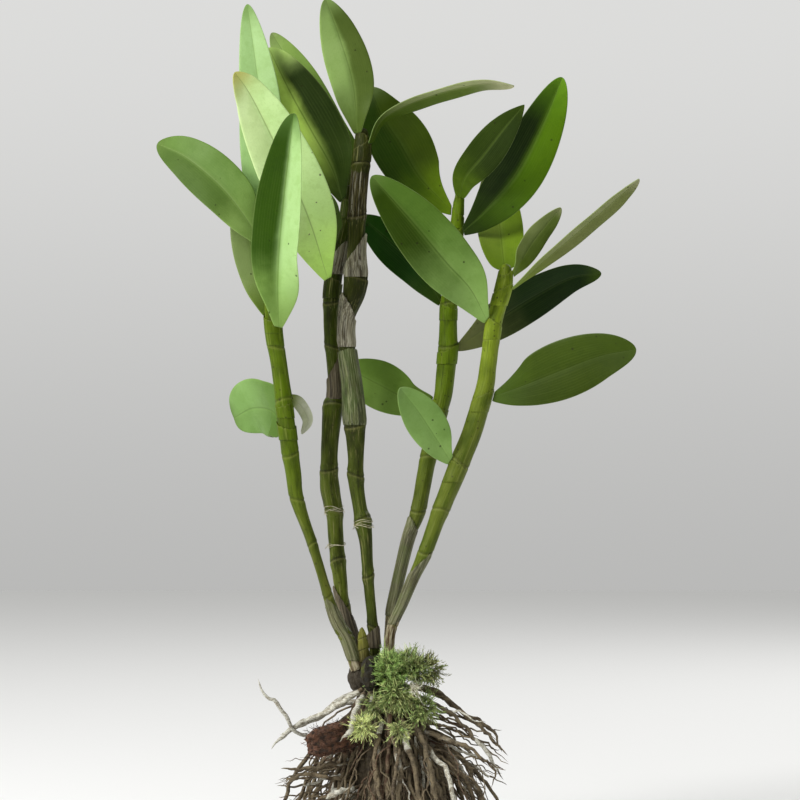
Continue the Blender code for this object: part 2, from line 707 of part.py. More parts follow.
def make_bark_chip(group, work):
    """Make the chip of bark, an uneven wedge whose inner end meets the root core."""
    shape = bmesh.new()
    bmesh.ops.create_cube(shape, size=1.0)
    bmesh.ops.subdivide_edges(shape, edges=shape.edges, cuts=BARK_CUTS, use_grid_fill=True)
    draw = random.Random(BARK_SEED)
    for point in shape.verts:
        push = Vector((draw.uniform(-1, 1), draw.uniform(-1, 1), draw.uniform(-1, 1)))
        point.co += push * BARK_UNEVEN
    direction = math.atan2(BARK_CENTRE[1], BARK_CENTRE[0])
    size = Matrix.Diagonal([side * MM for side in BARK_SIZE] + [1.0])
    place = Matrix.Translation(Vector(BARK_CENTRE) * MM)
    turned = Matrix.Rotation(direction, 4, "Z") @ Matrix.Rotation(math.radians(BARK_TILT), 4, "Y")
    bmesh.ops.transform(shape, matrix=place @ turned @ size, verts=shape.verts)
    chip = mesh_object("bark_chip", shape, group)
    crown_solids(SEAT_GAP, work)
    apply_boolean(chip, "DIFFERENCE", work, "MANIFOLD")
    chip.data.materials.clear()
    chip.data.materials.append(bpy.data.materials["bark"])


def make_old_bulb(group, work):
    """Make the shrunken old bulb at the front of the rhizome."""
    bulb = ellipsoid("old_bulb", OLD_BULB_CENTRE, OLD_BULB_RADII, 0.0, group, BULB_SEGMENTS)
    crown_solids(SEAT_GAP, work)
    cane_cutters(work)
    apply_boolean(bulb, "DIFFERENCE", work, "MANIFOLD")
    bulb.data.materials.clear()
    bulb.data.materials.append(bpy.data.materials["bark"])
    smooth(bulb.data)


def make_shoot(group, work):
    """Make the short new shoot that stands on the rhizome."""
    rows = smooth_path(SHOOT_STATIONS, SHOOT_STEP)
    shoot = as_mesh(tube_curve("new_shoot", rows, 0.0, True, CANE_RESOLUTION), group)
    crown_solids(SEAT_GAP, work)
    ellipsoid("bulb_cutter", OLD_BULB_CENTRE, OLD_BULB_RADII, SEAT_GAP, work, BULB_SEGMENTS)
    cane_cutters(work)
    apply_boolean(shoot, "DIFFERENCE", work, "MANIFOLD")
    shoot.data.materials.clear()
    shoot.data.materials.append(bpy.data.materials["shoot"])
    smooth(shoot.data)


def main():
    """Build the whole plant."""
    clear_scene()
    parts = collection("dendrobium_orchid")
    work = collection("cutters")
    for slot in PALETTE:
        material(slot)
    for name in CANES:
        make_cane(name, parts)
    for name in SHEATHS:
        make_sheath(name, parts)
    for name in LEAVES:
        make_leaf(name, parts)
    make_root_mass(parts, work)
    make_moss(parts, work)
    make_bark_chip(parts, work)
    make_old_bulb(parts, work)
    make_shoot(parts, work)


main()
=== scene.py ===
"""The looks of a bare-root dendrobium orchid that stands on its spread roots.

Lengths in the data classes are in millimetres and are turned into metres by MM when a mesh is
shaped. X runs to the viewer's right, Y away from the viewer and Z up, as in the frame.
"""

from __future__ import annotations

import logging
import math
import random
from dataclasses import dataclass
from enum import Enum

import bpy
import numpy as np
from mathutils import Matrix, Vector, noise


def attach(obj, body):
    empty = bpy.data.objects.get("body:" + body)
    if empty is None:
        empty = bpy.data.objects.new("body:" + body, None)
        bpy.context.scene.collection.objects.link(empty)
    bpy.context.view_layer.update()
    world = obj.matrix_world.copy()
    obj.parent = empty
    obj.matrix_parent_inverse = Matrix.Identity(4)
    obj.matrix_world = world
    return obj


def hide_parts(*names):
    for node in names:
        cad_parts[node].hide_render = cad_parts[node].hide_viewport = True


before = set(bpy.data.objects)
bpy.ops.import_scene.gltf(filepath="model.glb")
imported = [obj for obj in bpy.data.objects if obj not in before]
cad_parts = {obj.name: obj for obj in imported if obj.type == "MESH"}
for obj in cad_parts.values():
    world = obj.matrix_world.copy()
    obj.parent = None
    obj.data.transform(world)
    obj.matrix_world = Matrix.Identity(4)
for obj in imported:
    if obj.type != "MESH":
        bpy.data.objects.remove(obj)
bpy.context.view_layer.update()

log = logging.getLogger("orchid")

MM = 0.001
BODY = "root"
WELD = 0.004
FULL_TURN = 2 * math.pi
VALUE, VECTOR, COLOUR = "NodeSocketFloat", "NodeSocketVector", "NodeSocketColor"


class Slot(Enum):
    """The record's material slots."""

    LEAF = "leaf"
    CANE_GREEN = "cane_green"
    CANE_OLD = "cane_old"
    SHEATH = "sheath"
    ROOT = "root"
    MOSS = "moss"
    BARK = "bark"
    SHOOT = "shoot"


# Colours


def linear(red: int, green: int, blue: int) -> tuple[float, float, float, float]:
    """Turn a display colour into the linear colour that a shader takes.

    Args:
        red: Red from 0 to 255.
        green: Green from 0 to 255.
        blue: Blue from 0 to 255.

    Returns:
        The linear colour with an alpha of one.
    """
    parts = []
    for value in (red, green, blue):
        share = value / 255
        parts.append(share / 12.92 if share <= 0.04045 else ((share + 0.055) / 1.055) ** 2.4)
    return (parts[0], parts[1], parts[2], 1.0)


# Shader graphs


class Graph:
    """A node tree that is being filled."""

    def __init__(self, tree: bpy.types.NodeTree) -> None:
        """Keep the tree.

        Args:
            tree: The node tree of a material or a group.
        """
        self.tree = tree

    def add(self, kind: str, **settings: object) -> bpy.types.Node:
        """Add a node.

        Args:
            kind: The node's type name.
            settings: Properties to set on the node.

        Returns:
            The new node.
        """
        node = self.tree.nodes.new(kind)
        for name, value in settings.items():
            setattr(node, name, value)
        return node

    def feed(self, socket: bpy.types.NodeSocket, source: object) -> None:
        """Set an input, by a link where the source is a socket and by value otherwise.

        Args:
            socket: The input socket.
            source: An output socket or a plain value.
        """
        if isinstance(source, bpy.types.NodeSocket):
            self.tree.links.new(source, socket)
        else:
            socket.default_value = source

    def math(self, operation: str, first: object, second: object = 0.0, clamp: bool = False) -> object:
        """Add a Math node and return its output.

        Args:
            operation: The operation's name.
            first: The first value or socket.
            second: The second value or socket.
            clamp: Whether the result is kept between zero and one.

        Returns:
            The output socket.
        """
        node = self.add("ShaderNodeMath", operation=operation, use_clamp=clamp)
        self.feed(node.inputs[0], first)
        self.feed(node.inputs[1], second)
        return node.outputs[0]

    def ramp(self, value: object, low: object, high: object, start: float = 0.0, end: float = 1.0) -> object:
        """Map a value smoothly from one range to another.

        Args:
            value: The value's socket.
            low: Where the change begins.
            high: Where the change ends.
            start: The result below low.
            end: The result above high.

        Returns:
            The output socket.
        """
        node = self.add("ShaderNodeMapRange", interpolation_type="SMOOTHSTEP")
        self.feed(node.inputs["Value"], value)
        self.feed(node.inputs["From Min"], low)
        self.feed(node.inputs["From Max"], high)
        self.feed(node.inputs["To Min"], start)
        self.feed(node.inputs["To Max"], end)
        return node.outputs["Result"]

    def mix(self, share: object, first: object, second: object, blend: str = "MIX") -> object:
        """Mix two colours.

        Args:
            share: How much of the second colour shows.
            first: The first colour.
            second: The second colour.
            blend: The blend type.

        Returns:
            The output socket.
        """
        node = self.add("ShaderNodeMix", data_type="RGBA", blend_type=blend)
        self.feed(node.inputs[0], share)
        self.feed(node.inputs[6], first)
        self.feed(node.inputs[7], second)
        return node.outputs[2]

    def noise(self, vector: object, scale: object, detail: float = 3.0, rough: float = 0.55) -> object:
        """Add a noise texture and return its value.

        Args:
            vector: The coordinates.
            scale: The noise's scale.
            detail: Its octaves.
            rough: Its roughness.

        Returns:
            The output socket.
        """
        node = self.add("ShaderNodeTexNoise")
        self.feed(node.inputs["Vector"], vector)
        self.feed(node.inputs["Scale"], scale)
        self.feed(node.inputs["Detail"], detail)
        self.feed(node.inputs["Roughness"], rough)
        return node.outputs["Fac"]

    def stretch(self, vector: object, scale: tuple[float, float, float]) -> object:
        """Scale coordinates.

        Args:
            vector: The coordinates.
            scale: The factor along each axis.

        Returns:
            The output socket.
        """
        node = self.add("ShaderNodeMapping")
        self.feed(node.inputs["Vector"], vector)
        node.inputs["Scale"].default_value = scale
        return node.outputs["Vector"]

    def attribute(self, name: str) -> object:
        """Read a vertex attribute as a value.

        Args:
            name: The attribute's name.

        Returns:
            The output socket.
        """
        return self.add("ShaderNodeAttribute", attribute_name=name).outputs["Fac"]

    def times(self, first: object, second: object, clamp: bool = False) -> object:
        """Multiply two values."""
        return self.math("MULTIPLY", first, second, clamp)

    def plus(self, first: object, second: object) -> object:
        """Add two values."""
        return self.math("ADD", first, second)

    def minus(self, first: object, second: object) -> object:
        """Take the second value from the first."""
        return self.math("SUBTRACT", first, second)

    def swing(self, value: object, width: object) -> object:
        """Turn a value that lies about a half into one that swings about zero."""
        return self.times(self.minus(value, 0.5), width)

    def coat(self, colour: object, share: object, tone: tuple[int, int, int]) -> object:
        """Lay a share of a display colour over a colour."""
        return self.mix(share, colour, linear(*tone))

    def place(self) -> object:
        """Return the object's own coordinates."""
        return self.add("ShaderNodeTexCoord").outputs["Object"]

    def skin(self) -> object:
        """Return the coordinates that a piece's skin had before it was bent."""
        return self.add("ShaderNodeAttribute", attribute_name="skin").outputs["Vector"]

    def split(self, vector: object) -> bpy.types.NodeOutputs:
        """Return the X, Y and Z outputs of a vector."""
        node = self.add("ShaderNodeSeparateXYZ")
        self.feed(node.inputs[0], vector)
        return node.outputs

    def strands(
        self, vector: object, squeeze: float, scale: float, detail: float, rough: float = 0.55
    ) -> object:
        """Add a noise that is drawn out along Z.

        Args:
            vector: The coordinates.
            squeeze: The factor along Z, small for long strands.
            scale: The noise's scale.
            detail: Its octaves.
            rough: Its roughness.

        Returns:
            The output socket.
        """
        return self.noise(self.stretch(vector, (1.0, 1.0, squeeze)), scale, detail, rough)

    def group(self, tree: bpy.types.NodeTree, **values: object) -> bpy.types.Node:
        """Place a node group.

        Args:
            tree: The group's tree.
            values: Its inputs, with spaces in their names written as underscores.

        Returns:
            The group node.
        """
        node = self.add("ShaderNodeGroup", node_tree=tree)
        for name, value in values.items():
            self.feed(node.inputs[name.replace("_", " ")], value)
        return node


def new_group(name: str, inputs: dict[str, str], outputs: dict[str, str]) -> tuple:
    """Start a shader node group.

    Args:
        name: The group's name.
        inputs: Socket types by input name.
        outputs: Socket types by output name.

    Returns:
        The tree, its graph, its input node and its output node.
    """
    tree = bpy.data.node_groups.new(name, "ShaderNodeTree")
    for label, kind in inputs.items():
        tree.interface.new_socket(label, in_out="INPUT", socket_type=kind)
    for label, kind in outputs.items():
        tree.interface.new_socket(label, in_out="OUTPUT", socket_type=kind)
    graph = Graph(tree)
    return tree, graph, graph.add("NodeGroupInput"), graph.add("NodeGroupOutput")


def fibre_group() -> bpy.types.NodeTree:
    """Make the group for fine lines that run along a surface, such as veins and fibres.

    Returns:
        The group's tree. Count is how many lines cross the width, Waver how far they wander.
    """
    tree, graph, given, out = new_group(
        "lines_along",
        {"UV": VECTOR, "Count": VALUE, "Waver": VALUE},
        {"Lines": VALUE, "Fleck": VALUE},
    )
    wander = graph.noise(graph.stretch(given.outputs["UV"], (5.0, 9.0, 1.0)), 1.0)
    wander = graph.swing(wander, given.outputs["Waver"])
    across = graph.plus(graph.split(given.outputs["UV"])["X"], wander)
    phase = graph.times(graph.times(across, given.outputs["Count"]), FULL_TURN)
    wave = graph.plus(graph.times(graph.math("SINE", phase), 0.5), 0.5)
    uneven = graph.noise(graph.stretch(given.outputs["UV"], (34.0, 3.0, 1.0)), 1.0, 2.0)
    graph.feed(out.inputs["Lines"], graph.times(wave, graph.ramp(uneven, 0.3, 0.7)))
    graph.feed(out.inputs["Fleck"], uneven)
    return tree


def mottle_group() -> bpy.types.NodeTree:
    """Make the group for soft uneven patches of two colours.

    Returns:
        The group's tree.
    """
    tree, graph, given, out = new_group(
        "soft_patches",
        {"Vector": VECTOR, "Scale": VALUE, "Dark": COLOUR, "Light": COLOUR},
        {"Colour": COLOUR, "Mask": VALUE},
    )
    mask = graph.ramp(graph.noise(given.outputs["Vector"], given.outputs["Scale"], 5.0, 0.5), 0.32, 0.68)
    graph.feed(out.inputs["Colour"], graph.mix(mask, given.outputs["Dark"], given.outputs["Light"]))
    graph.feed(out.inputs["Mask"], mask)
    return tree


def speck_group() -> bpy.types.NodeTree:
    """Make the group for sparse small spots.

    Returns:
        The group's tree. Scale sets how close the spots are, Size how large and Share how many show.
    """
    tree, graph, given, out = new_group(
        "small_spots",
        {"Vector": VECTOR, "Scale": VALUE, "Size": VALUE, "Share": VALUE},
        {"Mask": VALUE},
    )
    cells = graph.add("ShaderNodeTexVoronoi")
    graph.feed(cells.inputs["Vector"], given.outputs["Vector"])
    graph.feed(cells.inputs["Scale"], given.outputs["Scale"])
    split = graph.add("ShaderNodeSeparateColor")
    graph.feed(split.inputs[0], cells.outputs["Color"])
    chosen = graph.math("LESS_THAN", split.outputs[0], given.outputs["Share"])
    size = graph.times(given.outputs["Size"], graph.ramp(split.outputs[1], 0.0, 1.0, 0.3, 1.0))
    soft = graph.times(size, 0.55)
    near = graph.minus(1.0, graph.ramp(cells.outputs["Distance"], soft, size))
    graph.feed(out.inputs["Mask"], graph.times(near, chosen))
    return tree


FIBRES = fibre_group()
MOTTLE = mottle_group()
SPECKS = speck_group()


def principled(name: str) -> tuple[bpy.types.Material, Graph, bpy.types.Node]:
    """Start a material.

    Args:
        name: The material's name.

    Returns:
        The material, its graph and its Principled shader.
    """
    made = bpy.data.materials.new(name)
    made.use_nodes = True
    shader = made.node_tree.nodes["Principled BSDF"]
    return made, Graph(made.node_tree), shader


def bump(graph: Graph, shader: bpy.types.Node, height: object, depth: float, strength: float = 1.0) -> None:
    """Feed a height into a shader's normal.

    Args:
        graph: The material's graph.
        shader: Its shader.
        height: The height's socket.
        depth: The bump's depth in millimetres.
        strength: The bump's strength.
    """
    node = graph.add("ShaderNodeBump")
    graph.feed(node.inputs["Height"], height)
    node.inputs["Distance"].default_value = depth * MM
    node.inputs["Strength"].default_value = strength
    graph.feed(shader.inputs["Normal"], node.outputs["Normal"])


# Finishes


class Finish:
    """What all finishes share: each lays its layers, and this makes the material from them."""

    SPECULAR = 0.5
    RELIEF = 0.0

    def layers(self, graph: Graph) -> tuple:
        """Lay the finish from the skin up.

        Args:
            graph: The material's graph.

        Returns:
            The colour, the roughness and the height of the relief.
        """
        raise NotImplementedError

    def material(self, name: str) -> bpy.types.Material:
        """Make the material.

        Args:
            name: The material's name.

        Returns:
            The material.
        """
        made, graph, shader = principled(name)
        colour, roughness, height = self.layers(graph)
        graph.feed(shader.inputs["Base Color"], colour)
        graph.feed(shader.inputs["Roughness"], roughness)
        shader.inputs["Specular IOR Level"].default_value = self.SPECULAR
        if self.RELIEF:
            bump(graph, shader, height, self.RELIEF)
        return made


@dataclass(frozen=True)
class LeafFinish(Finish):
    """The finish of one leathery leaf blade, with a tone for each half, as painted light and painted shade,
    and for its two ends.
    """

    SPECULAR = 0.12
    RELIEF = 0.035

    # first and second are the two halves' tones, with painted light on the lit half and painted shade on the
    # shaded half.
    first: tuple = (92, 124, 48)
    second: tuple = (112, 146, 66)
    base: tuple = (140, 160, 70)
    tip: tuple = (112, 130, 62)
    rib: tuple = (70, 98, 34)
    rib_share: float = 0.55
    base_reach: float = 0.3
    tip_reach: float = 0.3
    under: tuple = (138, 160, 104)
    veins: float = 22.0
    specks: float = 0.03
    roughness: float = 0.5
    gleam: tuple = (188, 212, 118)
    mark: tuple = (38, 40, 16)
    deepening: tuple = (0.72, 0.78, 0.6, 1.0)

    def layers(self, graph: Graph) -> tuple:
        """Lay the finish from the skin up.

        Args:
            graph: The material's graph.

        Returns:
            The colour, the roughness and the height of the relief.
        """
        coordinates = graph.add("ShaderNodeTexCoord").outputs
        spot, flat = coordinates["Object"], coordinates["UV"]
        across, along, _ = graph.split(flat)
        veins = graph.group(FIBRES, UV=flat, Count=self.veins, Waver=0.02)
        broad = graph.noise(spot, 48.0, 4.0)
        fine = graph.noise(spot, 1100.0, 4.0, 0.6)
        blotch = graph.noise(spot, 170.0, 4.0, 0.6)
        drift = graph.swing(broad, 0.22)
        # painted light and shade: one half of the blade takes the first tone, the other half the second.
        half = graph.ramp(graph.plus(across, drift), 0.36, 0.64)
        colour = graph.mix(half, linear(*self.first), linear(*self.second))
        drifting = graph.plus(along, drift)
        colour = graph.coat(colour, graph.ramp(drifting, 0.0, self.base_reach, 1.0, 0.0), self.base)
        colour = graph.coat(colour, graph.ramp(drifting, 1.0 - self.tip_reach, 1.0), self.tip)
        deeper = graph.mix(1.0, colour, self.deepening, "MULTIPLY")
        colour = graph.mix(graph.times(graph.ramp(broad, 0.3, 0.7), 0.55), colour, deeper)
        colour = graph.mix(graph.ramp(blotch, 0.48, 0.66, 0.0, 0.45), colour, deeper)
        paler = graph.coat(colour, 0.26, self.gleam)
        lines = graph.times(veins.outputs["Lines"], graph.ramp(along, 0.45, 0.9, 1.0, 0.0))
        colour = graph.mix(graph.times(lines, 0.1), colour, paler)
        colour = graph.mix(graph.ramp(fine, 0.45, 0.75, 0.0, 0.35), colour, deeper)
        off_centre = graph.math("ABSOLUTE", graph.minus(across, 0.5))
        rib = graph.ramp(off_centre, 0.003, 0.022, 1.0, 0.0)
        colour = graph.coat(colour, graph.times(rib, self.rib_share), self.rib)
        beside_rib = graph.math("ABSOLUTE", graph.minus(off_centre, 0.03))
        colour = graph.mix(graph.ramp(beside_rib, 0.0, 0.03, 0.4 * self.rib_share, 0.0), colour, paler)
        colour = graph.mix(graph.ramp(off_centre, 0.475, 0.5, 0.0, 0.45), colour, paler)
        small = graph.group(SPECKS, Vector=spot, Scale=520.0, Size=0.4, Share=self.specks)
        large = graph.group(SPECKS, Vector=spot, Scale=150.0, Size=0.16, Share=0.4 * self.specks)
        marks = graph.math("MAXIMUM", small.outputs["Mask"], large.outputs["Mask"])
        colour = graph.coat(colour, graph.times(marks, 0.7), self.mark)
        below = graph.times(graph.attribute("underside"), 0.75)
        pale = graph.mix(graph.times(lines, 0.3), linear(*self.under), colour)
        colour = graph.mix(below, colour, pale)
        gloss = graph.ramp(broad, 0.3, 0.7, self.roughness - 0.05, self.roughness + 0.07)
        height = graph.plus(graph.times(lines, 0.3), graph.times(broad, 8.0))
        height = graph.minus(height, graph.times(rib, 1.5))
        height = graph.plus(height, graph.times(blotch, 2.5))
        return colour, graph.plus(gloss, graph.times(marks, 0.25)), height


@dataclass(frozen=True)
class CaneFinish(Finish):
    """The finish of one cane: live skin with dry streaks, papery stretches and dark joints."""

    SPECULAR = 0.14
    RELIEF = 0.35

    top: tuple = (104, 128, 30)
    foot: tuple = (84, 100, 30)
    shade: tuple = (58, 72, 16)
    streak: tuple = (176, 178, 120)
    dry: tuple = (158, 150, 120)
    brown: tuple = (78, 62, 40)
    joint: tuple = (44, 42, 16)
    streak_share: float = 0.24
    joint_share: float = 0.7
    low: float = 80.0
    high: float = 300.0
    roughness: float = 0.42
    thread: tuple = (204, 198, 176)
    mark: tuple = (40, 34, 18)

    def layers(self, graph: Graph) -> tuple:
        """Lay the finish from the skin up.

        Args:
            graph: The material's graph.

        Returns:
            The colour, the roughness and the height of the relief.
        """
        spot = graph.place()
        skin = graph.skin()
        rise = graph.ramp(graph.split(spot)["Z"], self.low * MM, self.high * MM)
        colour = graph.mix(rise, linear(*self.foot), linear(*self.top))
        patches = graph.strands(skin, 0.35, 0.16, 4.0)
        colour = graph.coat(colour, graph.ramp(patches, 0.4, 0.68, 0.0, 0.75), self.shade)
        ribs = graph.strands(skin, 0.035, 0.9, 3.0, 0.6)
        hairs = graph.strands(skin, 0.03, 2.6, 3.0, 0.6)
        lines = graph.math("MAXIMUM", graph.ramp(ribs, 0.56, 0.68), graph.ramp(hairs, 0.58, 0.72, 0.0, 0.8))
        colour = graph.coat(colour, graph.times(lines, self.streak_share), self.streak)
        colour = graph.coat(colour, graph.ramp(ribs, 0.28, 0.44, 0.6, 0.0), self.shade)
        fleck = graph.strands(skin, 0.12, 0.7, 5.0, 0.65)
        papery = graph.mix(graph.ramp(fleck, 0.42, 0.6), linear(*self.brown), linear(*self.dry))
        papery = graph.coat(papery, graph.times(lines, 0.5), self.thread)
        dryness = graph.plus(graph.attribute("dry"), graph.swing(fleck, 1.2))
        dry = graph.ramp(dryness, 0.38, 0.62)
        colour = graph.mix(dry, colour, papery)
        colour = graph.coat(colour, graph.times(graph.attribute("membrane"), 0.28), self.streak)
        colour = graph.coat(colour, graph.times(graph.attribute("joint"), self.joint_share), self.joint)
        marks = graph.group(SPECKS, Vector=spot, Scale=620.0, Size=0.4, Share=0.22)
        colour = graph.coat(colour, graph.times(marks.outputs["Mask"], 0.65), self.mark)
        height = graph.plus(ribs, graph.plus(graph.times(hairs, 0.6), fleck))
        return colour, graph.ramp(dry, 0.0, 1.0, self.roughness, 0.82), height


@dataclass(frozen=True)
class HuskFinish(Finish):
    """The finish of a dry papery sheath with silvery fibres."""

    RELIEF = 0.5

    pale: tuple = (212, 208, 192)
    mid: tuple = (140, 132, 106)
    dark: tuple = (66, 56, 36)
    green: tuple = (86, 100, 40)
    green_share: float = 0.0
    silver: float = 0.66
    length: float = 0.03

    def layers(self, graph: Graph) -> tuple:
        """Lay the finish from the skin up.

        Args:
            graph: The material's graph.

        Returns:
            The colour, the roughness and the height of the relief.
        """
        spot = graph.place()
        skin = graph.skin()
        broad = graph.strands(skin, self.length * 1.6, 0.55, 4.0, 0.6)
        hairs = graph.strands(skin, self.length, 2.4, 4.0, 0.65)
        colour = graph.mix(graph.ramp(broad, 0.36, 0.6), linear(*self.dark), linear(*self.mid))
        patch = graph.noise(spot, 110.0, 3.0)
        colour = graph.coat(colour, graph.ramp(patch, 0.4, 0.62, 0.0, self.green_share), self.green)
        silver = graph.plus(graph.ramp(hairs, 0.46, 0.62), graph.ramp(broad, 0.5, 0.68, 0.0, 0.5))
        colour = graph.coat(colour, graph.times(silver, self.silver, True), self.pale)
        colour = graph.coat(colour, graph.ramp(hairs, 0.3, 0.42, 0.6, 0.0), self.dark)
        return colour, graph.ramp(hairs, 0.3, 0.7, 0.85, 0.5), graph.plus(hairs, broad)


@dataclass(frozen=True)
class RootFinish(Finish):
    """The finish of wiry roots with stretches of pale velamen, some rusty fibres and painted shade in the
    depth of the mass.
    """

    RELIEF = 0.4

    dark: tuple = (66, 56, 40)
    mid: tuple = (134, 120, 92)
    pale: tuple = (236, 234, 218)
    rust: tuple = (92, 62, 44)
    depth_shade: tuple = (36, 30, 15)

    def layers(self, graph: Graph) -> tuple:
        """Lay the finish from the skin up.

        Args:
            graph: The material's graph.

        Returns:
            The colour, the roughness and the height of the relief.
        """
        spot = graph.place()
        patches = graph.group(
            MOTTLE, Vector=spot, Scale=210.0, Dark=linear(*self.dark), Light=linear(*self.mid)
        )
        grit = graph.noise(spot, 1500.0, 4.0, 0.6)
        stain = graph.noise(graph.stretch(spot, (0.35, 1.0, 1.0)), 900.0, 4.0, 0.65)
        colour = graph.coat(patches.outputs["Colour"], graph.times(graph.attribute("rust"), 0.8), self.rust)
        worn = graph.noise(spot, 160.0, 4.0, 0.6)
        share = graph.plus(graph.attribute("velamen"), graph.minus(worn, 0.5))
        colour = graph.coat(colour, graph.ramp(share, 0.4, 0.62, 0.0, 0.92), self.pale)
        colour = graph.coat(colour, graph.ramp(grit, 0.5, 0.72, 0.0, 0.55), self.dark)
        colour = graph.coat(colour, graph.ramp(stain, 0.47, 0.6, 0.0, 0.7), self.mid)
        # painted shade: a dark coat where the attribute is high, strong on the core and a random share on
        # each root.
        colour = graph.coat(colour, graph.attribute("depth_shade"), self.depth_shade)
        wrinkle = graph.noise(spot, 800.0, 4.0)
        return colour, graph.ramp(grit, 0.3, 0.7, 0.62, 0.95), graph.plus(wrinkle, grit)


@dataclass(frozen=True)
class MossFinish(Finish):
    """The finish of moss, pale at the tips, with painted shade in the depth, and olive where it is older and
    away from the light, as painted shade.
    """

    depth_shade: tuple = (70, 76, 30)
    fresh_and_lit: tuple = (158, 190, 104)
    olive: tuple = (122, 124, 76)
    straw: tuple = (246, 252, 172)

    def layers(self, graph: Graph) -> tuple:
        """Lay the finish from the skin up.

        Args:
            graph: The material's graph.

        Returns:
            The colour, the roughness and the height of the relief.
        """
        tone = graph.attribute("tone")
        along = graph.attribute("along")
        # painted light and shade: bright green where the moss is young and lit, olive where it is older and
        # away from the light.
        colour = graph.mix(graph.attribute("fresh_and_lit"), linear(*self.olive), linear(*self.fresh_and_lit))
        colour = graph.coat(colour, graph.ramp(tone, 0.55, 1.0, 0.0, 0.85), self.straw)
        # painted shade: darker near each shoot's foot and in the depth of the tuft.
        colour = graph.coat(colour, graph.ramp(along, 0.0, 0.8, 1.0, 0.0), self.depth_shade)
        return colour, graph.ramp(tone, 0.0, 1.0, 0.6, 0.9), None

    def material(self, name: str) -> bpy.types.Material:
        """Make the material, a little translucent.

        Args:
            name: The material's name.

        Returns:
            The material.
        """
        made = super().material(name)
        shader = made.node_tree.nodes["Principled BSDF"]
        shader.inputs["Subsurface Weight"].default_value = 0.05
        shader.inputs["Subsurface Scale"].default_value = 0.0005
        return made


@dataclass(frozen=True)
class BarkFinish(Finish):
    """The finish of fibrous reddish-brown bark, with painted light where a piece marks its lit side."""

    RELIEF = 0.6

    dark: tuple = (46, 34, 24)
    red: tuple = (110, 74, 54)
    pale: tuple = (146, 118, 92)
    painted_light: tuple = (140, 146, 52)

    def layers(self, graph: Graph) -> tuple:
        """Lay the finish from the skin up.

        Args:
            graph: The material's graph.

        Returns:
            The colour, the roughness and the height of the relief.
        """
        spot = graph.place()
        fibre = graph.noise(graph.stretch(spot, (0.3, 0.3, 1.0)), 1100.0, 5.0, 0.6)
        patch = graph.group(
            MOTTLE, Vector=spot, Scale=330.0, Dark=linear(*self.dark), Light=linear(*self.red)
        )
        colour = graph.coat(patch.outputs["Colour"], graph.ramp(fibre, 0.55, 0.75, 0.0, 0.5), self.pale)
        # painted light: a lighter greenish coat where the attribute marks the side towards the key lamp.
        colour = graph.coat(colour, graph.ramp(graph.attribute("painted_light"), 0.05, 0.6), self.painted_light)
        return colour, graph.ramp(fibre, 0.3, 0.7, 0.7, 0.95), graph.plus(fibre, patch.outputs["Mask"])


@dataclass(frozen=True)
class ThreadFinish(Finish):
    """The finish of loose plant fibres, with a little change along them."""

    RELIEF = 0.05

    light: tuple = (232, 230, 214)
    dark: tuple = (170, 162, 128)
    roughness: float = 0.6

    def layers(self, graph: Graph) -> tuple:
        """Lay the finish from the skin up.

        Args:
            graph: The material's graph.

        Returns:
            The colour, the roughness and the height of the relief.
        """
        fleck = graph.noise(graph.place(), 500.0, 3.0)
        colour = graph.mix(graph.ramp(fleck, 0.35, 0.65), linear(*self.light), linear(*self.dark))
        return colour, graph.ramp(fleck, 0.3, 0.7, self.roughness, 0.9), fleck


# Meshes


def deselect_all() -> None:
    """Deselect every object."""
    for item in bpy.context.selected_objects:
        item.select_set(False)


def choose(item: bpy.types.Object) -> None:
    """Select one object and make it active.

    Args:
        item: The object.
    """
    deselect_all()
    item.select_set(True)
    bpy.context.view_layer.objects.active = item


def grid(name: str, columns: int, rows: int) -> tuple[bpy.types.Object, np.ndarray, np.ndarray]:
    """Add a flat grid that is then shaped.

    Args:
        name: The object's name.
        columns: Faces across.
        rows: Faces along.

    Returns:
        The object, and each vertex's place across and along, from zero to one.
    """
    deselect_all()
    bpy.ops.mesh.primitive_grid_add(x_subdivisions=columns, y_subdivisions=rows, size=1, location=(0, 0, 0))
    made = bpy.context.object
    made.name = name
    made.data.name = name
    across = np.tile(np.linspace(0, 1, columns + 1), rows + 1)
    along = np.repeat(np.linspace(0, 1, rows + 1), columns + 1)
    return made, across, along


def place_points(item: bpy.types.Object, points: np.ndarray) -> None:
    """Move an object's vertices to points.

    Args:
        item: The object.
        points: A row of x, y and z in millimetres for each vertex.
    """
    item.data.vertices.foreach_set("co", (points * MM).astype(np.float32).ravel())
    item.data.update()


def read_points(item: bpy.types.Object) -> np.ndarray:
    """Return the vertices' places in millimetres, one row each."""
    points = np.zeros(len(item.data.vertices) * 3, np.float32)
    item.data.vertices.foreach_get("co", points)
    return points.reshape(-1, 3) / MM


def write_values(item: bpy.types.Object, name: str, values: np.ndarray) -> None:
    """Keep one value, or one vector, for each vertex in an attribute.

    Args:
        item: The object.
        name: The attribute's name.
        values: The values, one for each vertex or one row of three for each vertex.
    """
    rows = np.asarray(values, np.float32)
    kind, label = ("FLOAT_VECTOR", "vector") if rows.ndim == 2 else ("FLOAT", "value")
    layer = item.data.attributes.get(name) or item.data.attributes.new(name, kind, "POINT")
    layer.data.foreach_set(label, rows.ravel())


def apply_modifier(item: bpy.types.Object, kind: str, **settings: object) -> None:
    """Add a modifier and apply it.

    Args:
        item: The object.
        kind: The modifier's type.
        settings: Its properties.
    """
    choose(item)
    made = item.modifiers.new(kind.title(), kind)
    for name, value in settings.items():
        setattr(made, name, value)
    bpy.ops.object.modifier_apply(modifier=made.name)


